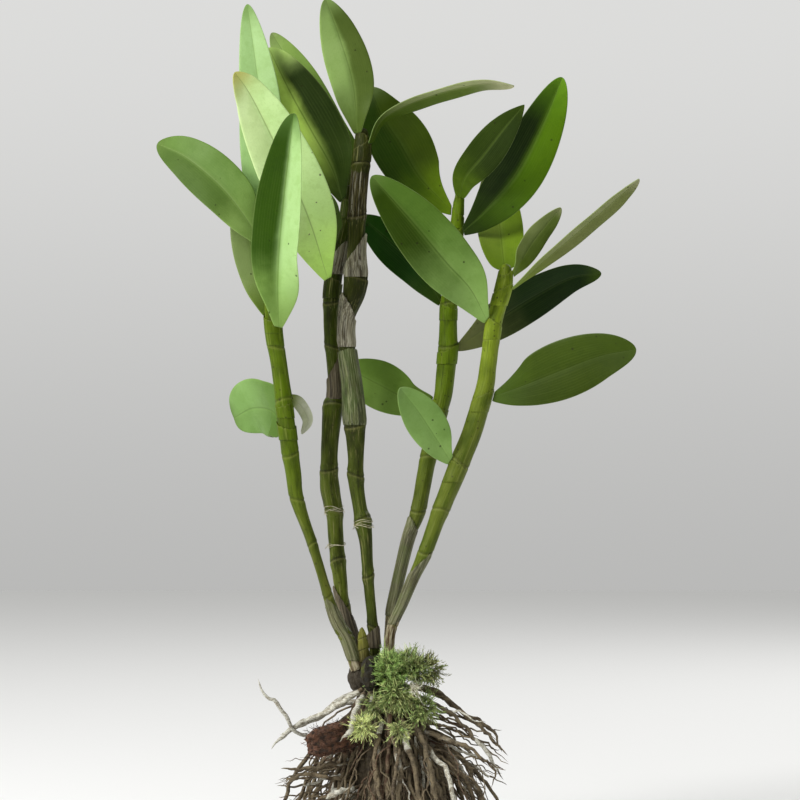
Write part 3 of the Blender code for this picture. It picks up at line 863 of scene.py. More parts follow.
def close_seam(item: bpy.types.Object, closed: bool = True) -> None:
    """Merge an object's doubled vertices in edit mode.

    Args:
        item: The object.
        closed: Whether it is a closed shape, whose faces are then turned outwards.
    """
    choose(item)
    bpy.ops.object.mode_set(mode="EDIT")
    bpy.ops.mesh.select_all(action="SELECT")
    bpy.ops.mesh.remove_doubles(threshold=WELD * MM)
    if closed:
        bpy.ops.mesh.normals_make_consistent(inside=False)
    bpy.ops.object.mode_set(mode="OBJECT")


def join(kept: bpy.types.Object, added: bpy.types.Object) -> None:
    """Join one object into another.

    Args:
        kept: The object that goes on.
        added: The object that becomes a part of it.
    """
    choose(kept)
    added.select_set(True)
    bpy.ops.object.join()


def bell(distance: np.ndarray, width: float) -> np.ndarray:
    """Return values that are one at no distance and fall off over a width on both sides."""
    return np.exp(-((distance / width) ** 2))


def ease(values: np.ndarray, start: float, length: float) -> np.ndarray:
    """Return values that rise evenly from zero at the start to one a length further on."""
    return np.clip((values - start) / length, 0, 1)


def dress(item: bpy.types.Object, finish: bpy.types.Material, node: str = "") -> None:
    """Give a piece its material, its body and the node that it stands for.

    Args:
        item: The piece.
        finish: Its material.
        node: The node that it replaces, or nothing.
    """
    item.data.materials.clear()
    item.data.materials.append(finish)
    item.data.shade_smooth()
    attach(item, BODY)
    if node:
        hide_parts(node)


def smooth_path(stations: list, step: float) -> np.ndarray:
    """Read a Catmull-Rom curve through stations of any width at about the given step.

    Args:
        stations: Rows of numbers, the first three being a place.
        step: The step in millimetres.

    Returns:
        One row for each point of the curve.
    """
    rows = [np.array(station, float) for station in stations]
    rows = [2 * rows[0] - rows[1], *rows, 2 * rows[-1] - rows[-2]]
    path = []
    for before, start, end, after in zip(rows, rows[1:], rows[2:], rows[3:]):
        pieces = max(1, round(float(np.linalg.norm(end - start)) / step))
        for piece in range(pieces):
            path.append(spline_point(before, start, end, after, piece / pieces))
    path.append(rows[-2])
    return np.array(path)


def spline_point(
    before: np.ndarray, start: np.ndarray, end: np.ndarray, after: np.ndarray, share: float
) -> np.ndarray:
    """Return one Catmull-Rom point between start and end."""
    square = share * share
    cube = square * share
    return (
        start
        + 0.5 * share * (end - before)
        + square * (before - 2.5 * start + 2 * end - 0.5 * after)
        + cube * (-0.5 * before + 1.5 * start - 1.5 * end + 0.5 * after)
    )


def resample(path: np.ndarray, rows: int) -> tuple[np.ndarray, np.ndarray]:
    """Read a path at even steps along it.

    Args:
        path: Rows of x, y, z and diameter.
        rows: How many steps.

    Returns:
        The centres, one row each, and the radii.
    """
    place = np.linspace(0, len(path) - 1, rows + 1)
    steps = np.arange(len(path))
    centres = np.stack([np.interp(place, steps, path[:, axis]) for axis in range(3)], axis=1)
    return centres, np.interp(place, steps, path[:, 3]) / 2


def tube_frames(centres: np.ndarray) -> tuple[np.ndarray, np.ndarray]:
    """Return two directions square to a path at each of its points, with no twist.

    Args:
        centres: The path's points.

    Returns:
        The two directions, one row each.
    """
    tangents = np.gradient(centres, axis=0)
    tangents /= np.linalg.norm(tangents, axis=1, keepdims=True) + 1e-12
    side = np.array([0.0, 1.0, 0.0])
    if abs(tangents[0] @ side) > 0.9:
        side = np.array([1.0, 0.0, 0.0])
    firsts, seconds = [], []
    for tangent in tangents:
        side = side - (side @ tangent) * tangent
        side /= np.linalg.norm(side)
        firsts.append(side)
        seconds.append(np.cross(tangent, side))
    return np.array(firsts), np.array(seconds)


def tube_points(centres: np.ndarray, radii: np.ndarray, across: np.ndarray, sides: int) -> np.ndarray:
    """Return the vertices of a grid that is rolled into a tube.

    Args:
        centres: The tube's centre at each row.
        radii: The radius at each vertex.
        across: Each vertex's place across the grid.
        sides: The grid's faces across.

    Returns:
        One row for each vertex.
    """
    firsts, seconds = tube_frames(centres)
    angle = FULL_TURN * across
    centre = np.repeat(centres, sides + 1, axis=0)
    first = np.repeat(firsts, sides + 1, axis=0)
    second = np.repeat(seconds, sides + 1, axis=0)
    outward = np.cos(angle)[:, None] * first + np.sin(angle)[:, None] * second
    return centre + outward * radii[:, None]


def replicate(
    name: str, pattern: bpy.types.Object, shapes: list[np.ndarray], values: dict[str, list]
) -> bpy.types.Object:
    """Copy one modelled mesh many times into one object, each copy with its own vertices.

    Args:
        name: The object's name.
        pattern: The object that is copied, and then removed.
        shapes: The vertices of each copy.
        values: For each attribute, the values of each copy.

    Returns:
        The object that holds all copies.
    """
    source = pattern.data
    count = len(source.vertices)
    faces = [tuple(face.vertices) for face in source.polygons]
    points = np.concatenate(shapes) * MM
    joined = []
    for copy in range(len(shapes)):
        offset = copy * count
        joined.extend(tuple(corner + offset for corner in face) for face in faces)
    mesh = bpy.data.meshes.new(name)
    mesh.from_pydata(points.tolist(), [], joined)
    made = bpy.data.objects.new(name, mesh)
    bpy.context.scene.collection.objects.link(made)
    for label, rows in values.items():
        write_values(made, label, np.concatenate(rows))
    bpy.data.objects.remove(pattern, do_unlink=True)
    return made


# Canes


@dataclass(frozen=True)
class JointForm:
    """The ring at a cane's joint: how it leans, swells and steps, and its groove and pale rim."""

    lean: float = 1.5
    lean_turn: float = 2.1
    swell_width: float = 2.6
    groove_rise: float = 1.0
    groove_depth: float = 0.26
    groove_width: float = 0.5
    step: float = 0.16
    step_rise: float = 1.2
    step_length: float = 7.0
    dark_width: float = 0.55
    rim_rise: float = 0.1
    rim_width: float = 0.5


@dataclass(frozen=True)
class Cane:
    """One jointed cane: stations of x, y, z and diameter from the base up, and its joints' heights."""

    node: str
    stations: tuple
    joints: tuple
    finish: CaneFinish
    slot: Slot
    dry_below: float
    ridges: float = 0.012
    dry_spans: tuple = ()
    swelling: float = 0.22
    ring: JointForm = JointForm()
    sides: int = 36
    row_step: float = 0.6
    lumpiness: float = 0.05
    dry_fade: float = 24.0
    span_fade: float = 4.0

    def line(self) -> np.ndarray:
        """Return the cane's rows of x, y, z and diameter, a millimetre apart."""
        return smooth_path(self.stations, 1.0)

    def at(self, heights: np.ndarray) -> tuple[np.ndarray, np.ndarray]:
        """Return the centres and radii at heights.

        Args:
            heights: Heights in millimetres.

        Returns:
            The centres, one row each, and the radii.
        """
        path = self.line()
        flat = [np.interp(heights, path[:, 2], path[:, axis]) for axis in range(2)]
        return np.stack([*flat, heights], axis=1), np.interp(heights, path[:, 2], path[:, 3]) / 2

    def build(self) -> bpy.types.Object:
        """Model the cane and dress it.

        Returns:
            The piece.
        """
        sides, ring = self.sides, self.ring
        path = self.line()
        rows = np.append(np.arange(path[0, 2], path[-1, 2], self.row_step), path[-1, 2])
        item, across, along = grid(f"{self.node}_stem", sides, len(rows) - 1)
        centres, radii = self.at(rows)
        height = np.repeat(rows, sides + 1)
        radius = np.repeat(radii, sides + 1)
        angle = FULL_TURN * across
        joint = np.zeros(len(height))
        membrane = np.zeros(len(height))
        for index, level in enumerate(self.joints):
            above = height - level - ring.lean * np.sin(angle + ring.lean_turn * index)
            past = above - ring.groove_rise
            radius = radius + self.swelling * bell(above, ring.swell_width)
            radius = radius - ring.groove_depth * bell(past, ring.groove_width)
            fading = np.clip(1 - above / ring.step_length, 0, 1)
            radius = radius + ring.step * fading * (above > ring.step_rise)
            joint = np.maximum(joint, bell(past, ring.dark_width))
            membrane = np.maximum(membrane, bell(above - ring.rim_rise, ring.rim_width))
        seam = np.sin(angle * 7 + 0.05 * height) * 0.6 + np.sin(angle * 12 - 0.03 * height) * 0.4
        radius = radius * (1 + self.ridges * seam)
        around = zip(np.cos(angle), np.sin(angle), height * 0.09)
        radius = radius * (1 + self.lumpiness * np.array([noise.noise(Vector(spot)) for spot in around]))
        skin = np.stack([radius * np.cos(angle), radius * np.sin(angle), height], axis=1)
        cap = np.clip((path[-1, 2] - height) / (radius + 0.01), 0, 1)
        radius = radius * np.sqrt(np.clip(1 - (1 - cap) ** 2, 0, 1))
        radius = radius * ease(height, path[0, 2], 0.5)
        place_points(item, tube_points(centres, radius, across, sides))
        dry = np.clip((self.dry_below - height) / self.dry_fade + 0.3, 0, 1)
        for low, high in self.dry_spans:
            inside = ease(height, low, self.span_fade) * np.clip((high - height) / self.span_fade, 0, 1)
            dry = np.maximum(dry, inside)
        write_values(item, "joint", joint)
        write_values(item, "membrane", membrane)
        write_values(item, "dry", dry)
        write_values(item, "skin", skin)
        close_seam(item)
        dress(item, self.finish.material(self.node), self.node)
        return item


LEFT_SKIN = CaneFinish(
    top=(82, 104, 2), foot=(88, 94, 30), shade=(54, 68, 2), streak=(146, 152, 78), joint=(50, 54, 8),
    joint_share=0.45, low=110, high=210,
)
MIDDLE_LEFT_SKIN = CaneFinish(
    top=(56, 70, 4), foot=(92, 104, 30), shade=(30, 34, 2), streak=(150, 146, 92), dry=(116, 108, 80),
    brown=(56, 50, 32), joint=(30, 28, 8), streak_share=0.5,
)
MIDDLE_SKIN = CaneFinish(
    top=(50, 56, 6), foot=(70, 82, 20), shade=(28, 32, 1), streak=(142, 138, 86), dry=(82, 76, 44),
    brown=(46, 42, 22), joint=(28, 26, 6), streak_share=0.45, low=150, high=240,
)
RIGHT_BACK_SKIN = CaneFinish(
    top=(94, 120, 1), foot=(84, 92, 30), shade=(44, 56, 1), streak=(140, 144, 72), joint=(46, 50, 6),
    joint_share=0.55, low=130, high=270,
)
RIGHT_FRONT_SKIN = CaneFinish(
    top=(136, 158, 34), foot=(94, 106, 30), shade=(58, 76, 1), streak=(152, 158, 84), joint=(56, 60, 10),
    joint_share=0.5, low=190, high=275,
)

CANE_LEFT = Cane(
    "cane_left",
    (
        (-16, -5, 79, 7), (-21, -6, 94, 7), (-26, -7, 103, 6.5), (-31, -9, 117, 4.8),
        (-38.5, -12, 142, 5), (-46, -14, 164, 6.6), (-48, -15, 178, 7.8), (-50.5, -16, 195, 8.6),
        (-54.5, -18, 228, 8.2), (-57.5, -20, 247, 8.2), (-59, -21, 272, 7), (-60, -22, 294, 4),
    ),
    (96, 116.5, 141, 164, 187, 213, 240, 268),
    LEFT_SKIN, Slot.CANE_GREEN, 92, 0.015,
)
CANE_MIDDLE_LEFT = Cane(
    "cane_middle_left",
    (
        (-15.5, 4.5, 79, 6.5), (-18, 5, 92, 6.5), (-23, 6, 110, 5.8), (-25, 7, 123, 7),
        (-27, 8, 142, 7.6), (-28, 8, 158, 8.2), (-30, 8, 169, 9.8), (-30.5, 8, 180, 8.4),
        (-30, 8, 195, 8.8), (-28.5, 8, 211, 9.8), (-27.5, 8, 220, 7), (-29.5, 8, 252, 7.8),
        (-28.5, 8, 272, 8.2), (-25, 9, 289, 6.6), (-22, 10, 306, 6), (-20.5, 10, 322, 4),
    ),
    (98, 110, 132.5, 158, 179, 211, 240, 263, 289, 306),
    MIDDLE_LEFT_SKIN, Slot.CANE_OLD, 112, 0.03, (), 0.5,
)
CANE_MIDDLE = Cane(
    "cane_middle",
    (
        (-7, 0, 82, 6), (-8.5, 0, 100, 5), (-11, 0, 126, 5.4), (-12, -1, 142, 6.4),
        (-13.5, -1, 153, 8.2), (-15, -1, 160, 6.8), (-17, -1, 174, 7.6), (-17, -2, 186, 8),
        (-17.5, -2, 201, 10), (-19, -2, 221, 8.6), (-21.5, -3, 240, 7.6), (-21.5, -3, 254, 7.2),
        (-17.5, -3, 270, 11.5), (-17, -3, 289, 8.6), (-16.5, -3, 306, 8.8), (-15.5, -2, 321, 9.2),
        (-14, -2, 337, 8), (-13.5, -2, 350, 5),
    ),
    (100, 126, 153, 176, 201, 241, 275, 306, 331),
    MIDDLE_SKIN, Slot.CANE_OLD, 92, 0.035, ((302, 330),), 0.55,
)
CANE_RIGHT_BACK = Cane(
    "cane_right_back",
    (
        (-1, 6, 84, 5), (0, 7, 104, 4.6), (3, 7, 119, 5), (9, 8, 144, 5.6), (14, 9, 158, 7.4),
        (19, 10, 184, 8.2), (24, 11, 206, 8.6), (26.5, 11, 216, 9), (28, 12, 228, 9.6),
        (29, 12, 241, 9.4), (29.5, 13, 261, 8.4), (31, 13, 279, 7.4), (33.5, 14, 299, 6.6),
        (35, 14, 319, 4),
    ),
    (104, 158, 184, 206, 241, 261, 280, 300),
    RIGHT_BACK_SKIN, Slot.CANE_GREEN, 138,
)
CANE_RIGHT_FRONT = Cane(
    "cane_right_front",
    (
        (-0.5, -3.5, 84, 5), (0.5, -3.5, 99, 5), (6, -4, 112, 5.2), (11.5, -4, 125, 5.6),
        (17.5, -5, 138, 7), (24.5, -5, 157, 8.2), (31, -6, 173, 9.6), (35, -6, 183, 9.8),
        (42, -7, 201, 9.8), (47.5, -8, 221, 9), (49, -9, 232, 8.4), (52, -9, 253, 8),
        (56.5, -9, 270, 8), (58, -9, 282, 5),
    ),
    (102, 138, 158, 182.5, 213, 243, 268),
    RIGHT_FRONT_SKIN, Slot.CANE_GREEN, 118,
)
CANES = (CANE_LEFT, CANE_MIDDLE_LEFT, CANE_MIDDLE, CANE_RIGHT_BACK, CANE_RIGHT_FRONT)


# Dry sheaths


@dataclass(frozen=True)
class Sheath:
    """One dry sheath: it closes round a joint at its foot and its mouth slants up to a point."""

    name: str
    cane: Cane
    low: float
    high: float
    tip_turn: float
    slant: float
    finish: HuskFinish | CaneFinish
    node: str = ""
    flare: float = 0.4
    gap: float = 0.5
    sharpness: float = 1.6
    fray: float = 0.45
    seat: float = 2.5
    least_lift: float = 0.15
    wall: float = 0.18
    rim: float = 0.7

    def build(self, sides: int = 60, rows: int = 40) -> bpy.types.Object:
        """Model the sheath and dress it.

        Args:
            sides: Faces round it.
            rows: Faces along it.

        Returns:
            The piece.
        """
        item, across, along = grid(self.name, sides, rows)
        angle = FULL_TURN * across
        draw = random.Random(self.name)
        frays = np.array([draw.uniform(-1, 1) for _ in range(sides)])
        fray = self.fray * frays[np.round(across * sides).astype(int) % sides]
        away = (1 - np.cos(angle - math.radians(self.tip_turn))) / 2
        top = self.high - self.slant * away ** (1 / self.sharpness) + fray
        height = self.low + (top - self.low) * along
        centres, radii = self.cane.at(height)
        ridge = 0.1 * np.sin(angle * 9 + 0.06 * height) + 0.08 * np.sin(angle * 17 + 1.3)
        seated = 0.35 + 0.65 * ease(height, self.low, self.seat)
        lift = (self.gap + ridge) * seated + self.flare * ease(height, self.low, self.high - self.low) ** 3
        radius = radii * (1 + self.cane.ridges) + np.maximum(lift, self.least_lift) + self.cane.swelling * 0.4
        direction = np.stack([np.cos(angle), np.sin(angle), np.zeros(len(angle))], axis=1)
        place_points(item, centres + direction * radius[:, None])
        write_values(item, "skin", np.stack([radius * np.cos(angle), radius * np.sin(angle), height], axis=1))
        write_values(item, "membrane", ease(along, 0.9, 0.1) * self.rim)
        close_seam(item)
        apply_modifier(item, "SOLIDIFY", thickness=self.wall * MM, offset=1.0)
        slot = Slot.SHEATH if isinstance(self.finish, HuskFinish) else self.cane.slot
        dress(item, self.finish.material(self.name), self.node)
        return item


SILVER_HUSK = HuskFinish(pale=(190, 186, 164), mid=(116, 110, 84), dark=(54, 46, 26))
STRIPED_HUSK = HuskFinish(
    pale=(166, 168, 124), mid=(74, 82, 30), dark=(40, 46, 10), green=(62, 80, 18), green_share=0.8,
    silver=0.45, length=0.012,
)
BROWN_HUSK = HuskFinish(pale=(132, 122, 96), mid=(84, 74, 50), dark=(46, 38, 22), silver=0.5)
GREY_HUSK = HuskFinish(
    pale=(140, 138, 106), mid=(92, 92, 54), dark=(58, 56, 30), green_share=0.5, length=0.018,
)

SHEATHS = (
    Sheath(
        "sheath_middle_left_husk", CANE_MIDDLE_LEFT, 214.5, 239, -20, 16, BROWN_HUSK, "sheath_middle_left",
    ),
    Sheath("sheath_middle_top_husk", CANE_MIDDLE, 275.5, 297, -30, 17, SILVER_HUSK, "sheath_middle_top", 0.6),
    Sheath(
        "sheath_middle_upper_husk", CANE_MIDDLE, 240.5, 267.5, -150, 15, SILVER_HUSK, "sheath_middle_upper",
    ),
    Sheath(
        "sheath_middle_lower_husk", CANE_MIDDLE, 201.5, 240, -60, 3, STRIPED_HUSK, "sheath_middle_lower",
        0.1,
    ),
    Sheath(
        "sheath_right_back_husk", CANE_RIGHT_BACK, 106, 156, -150, 9, GREY_HUSK, "sheath_right_back", 0.2,
        0.3,
    ),
    Sheath(
        "sheath_right_front_husk", CANE_RIGHT_FRONT, 102, 138, -30, 12, GREY_HUSK, "sheath_right_front", 0.2,
        0.3,
    ),
    Sheath("husk_middle_left_top", CANE_MIDDLE_LEFT, 277, 294, -60, 12, SILVER_HUSK),
    Sheath("husk_left_foot", CANE_LEFT, 84, 115, -110, 8, GREY_HUSK, "", 0.3, 0.3),
    Sheath("husk_middle_left_foot", CANE_MIDDLE_LEFT, 92, 121, -150, 18, BROWN_HUSK, "", 0.2, 0.3),
    Sheath("husk_middle_foot", CANE_MIDDLE, 90, 101, -40, 5, BROWN_HUSK, "", 0.2, 0.3),
)


# Leaves


@dataclass(frozen=True)
class Leaf:
    """One leaf blade: where it leaves its cane, the points its midrib runs through and its form."""

    node: str
    cane: Cane
    height: float
    midrib: tuple
    width: float
    roll: tuple = (0.0, 0.0)
    fold: float = 14.0
    bluntness: float = 0.55
    peak: float = 0.9
    finish: LeafFinish = LeafFinish()
    taper: float = 0.5
    seat_gap: float = 0.3
    thickness: float = 0.8
    base_half: float = 2.6
    corner: float = 4.0
    twist_length: float = 0.35
    least_lean: float = 0.5
    sides_wide: tuple = (1.0, 1.0)
    cuff_height: float = 9.0
    columns: int = 16
    rows: int = 46
    tip_rows: float = 1.5
    crease_round: float = 0.004
    crease_drop: float = 0.063
    hollow: float = 0.1
    waves: tuple = ((9, 0.5), (19, 0.22))
    groove_depth: float = 0.28
    groove_width: float = 0.07

    def start(self) -> tuple[Vector, Vector, Vector]:
        """Return the blade's base, its outward direction and its cane's direction."""
        levels = np.array([self.height - 1, self.height, self.height + 1])
        centres, radii = self.cane.at(levels)
        upward = Vector(centres[2] - centres[0]).normalized()
        centre = Vector(centres[1])
        outward = Vector(self.midrib[0]) - centre
        outward = (outward - outward.dot(upward) * upward).normalized()
        base = centre + outward * (float(radii[1]) + self.seat_gap + self.thickness / 2)
        return base, outward, upward

    def half_width(self, share: float, length: float) -> float:
        """Return the half width at a share of the length from base to tip.

        Args:
            share: The share of the length.
            length: The blade's length in millimetres.

        Returns:
            The half width in millimetres.
        """
        arch = math.sin(math.pi * min(share, 1.0) ** self.peak)
        full = self.width / 2 * max(arch, 0.0) ** self.bluntness + 3 * (1 - share) ** 5
        neck = self.base_half + self.taper * share * length
        return full * neck / (full ** self.corner + neck ** self.corner) ** (1 / self.corner)

    def axes(self, share: float, direction: Vector, outward: Vector, upward: Vector) -> tuple[Vector, Vector]:
        """Return the blade's sideways and facing directions.

        Args:
            share: The share of the length from base to tip.
            direction: The midrib's direction there.
            outward: The direction away from the cane at the base.
            upward: The cane's direction at the base.

        Returns:
            The sideways and the facing direction.
        """
        towards_viewer = Vector((0, -1, 0))
        facing = (towards_viewer - towards_viewer.dot(direction) * direction).normalized()
        turn = self.roll[0] + (self.roll[1] - self.roll[0]) * share
        facing = Matrix.Rotation(math.radians(turn), 3, direction) @ facing
        sideways = direction.cross(facing)
        clasping = sideways - sideways.dot(outward) * outward
        if clasping.length < self.least_lean:
            clasping = upward.cross(outward)
        if clasping.dot(sideways) < 0:
            clasping = -clasping
        clasping = clasping.normalized()
        blend = min(share / self.twist_length, 1.0)
        blend = blend * blend * (3 - 2 * blend)
        sideways = clasping.lerp(sideways, blend).normalized()
        return sideways, sideways.cross(direction).normalized()

    def build(self) -> bpy.types.Object:
        """Model the blade and dress it.

        Returns:
            The piece.
        """
        columns, rows = self.columns, self.rows
        item, _, _ = grid(f"{self.node}_blade", columns, rows)
        base, outward, upward = self.start()
        path = smooth_path([tuple(base), *self.midrib], 0.5)
        length = float(np.linalg.norm(np.diff(path, axis=0), axis=1).sum())
        draw = random.Random(self.node)
        phases = [draw.uniform(0, FULL_TURN) for _ in range(4)]
        reach = 6
        points = []
        for row in range(rows + 1):
            share = 1 - (1 - row / rows) ** self.tip_rows
            place = share * (len(path) - 1)
            index = min(int(place), len(path) - 2)
            point = Vector(path[index] + (path[index + 1] - path[index]) * (place - index))
            ahead = path[min(index + reach, len(path) - 1)]
            direction = Vector(ahead - path[max(index - reach, 0)]).normalized()
            sideways, facing = self.axes(share, direction, outward, upward)
            half = self.half_width(share, length) if row < rows else 0.0
            opening = min(share / self.twist_length, 1.0)
            rise = math.tan(math.radians(self.fold)) * opening
            fade = math.sin(math.pi * share)
            for column in range(columns + 1):
                side = 2 * column / columns - 1
                hand = int(side >= 0)
                lift = rise * half * (math.sqrt(side * side + self.crease_round) - self.crease_drop)
                lift -= self.hollow * half * side * side * opening * fade
                for order, (pitch, height) in enumerate(self.waves):
                    lift += math.sin(pitch * share + phases[2 * order + hand]) * height * side * side * fade
                lift -= self.groove_depth * math.exp(-((side / self.groove_width) ** 2)) * fade
                points.append(point + sideways * side * half * self.sides_wide[hand] + facing * lift)
        place_points(item, np.array([tuple(point) for point in points]))
        close_seam(item, closed=False)
        front = len(item.data.vertices)
        apply_modifier(item, "SOLIDIFY", thickness=0.7 * self.thickness * MM, offset=0.0)
        below = np.zeros(len(item.data.vertices))
        below[front:] = 1.0
        if self.lower_side_first(item, front):
            below = 1.0 - below
        write_values(item, "underside", below)
        apply_modifier(item, "SUBSURF", levels=1, render_levels=1)
        dress(item, self.finish.material(self.node), self.node)
        return item

    def build_cuff(self) -> bpy.types.Object:
        """Model the short green sheath by which the blade clasps its cane, and dress it.

        Returns:
            The piece.
        """
        _, outward, _ = self.start()
        turn = math.degrees(math.atan2(outward.y, outward.x))
        low = self.height - self.cuff_height
        cuff = Sheath(
            f"{self.node}_cuff", self.cane, low, self.height + 2.2, turn, 5.5, self.cane.finish,
            flare=0.35, gap=0.12
        )
        return cuff.build(36, 14)

    def lower_side_first(self, item: bpy.types.Object, front: int) -> bool:
        """Tell whether the wall's first vertices are the blade's lower side.

        Args:
            item: The blade with its wall.
            front: How many vertices the open blade had.

        Returns:
            Whether they lie behind the others, seen from the viewer.
        """
        points = read_points(item)
        middle = front // 2
        return points[middle, 1] > points[front + middle, 1]


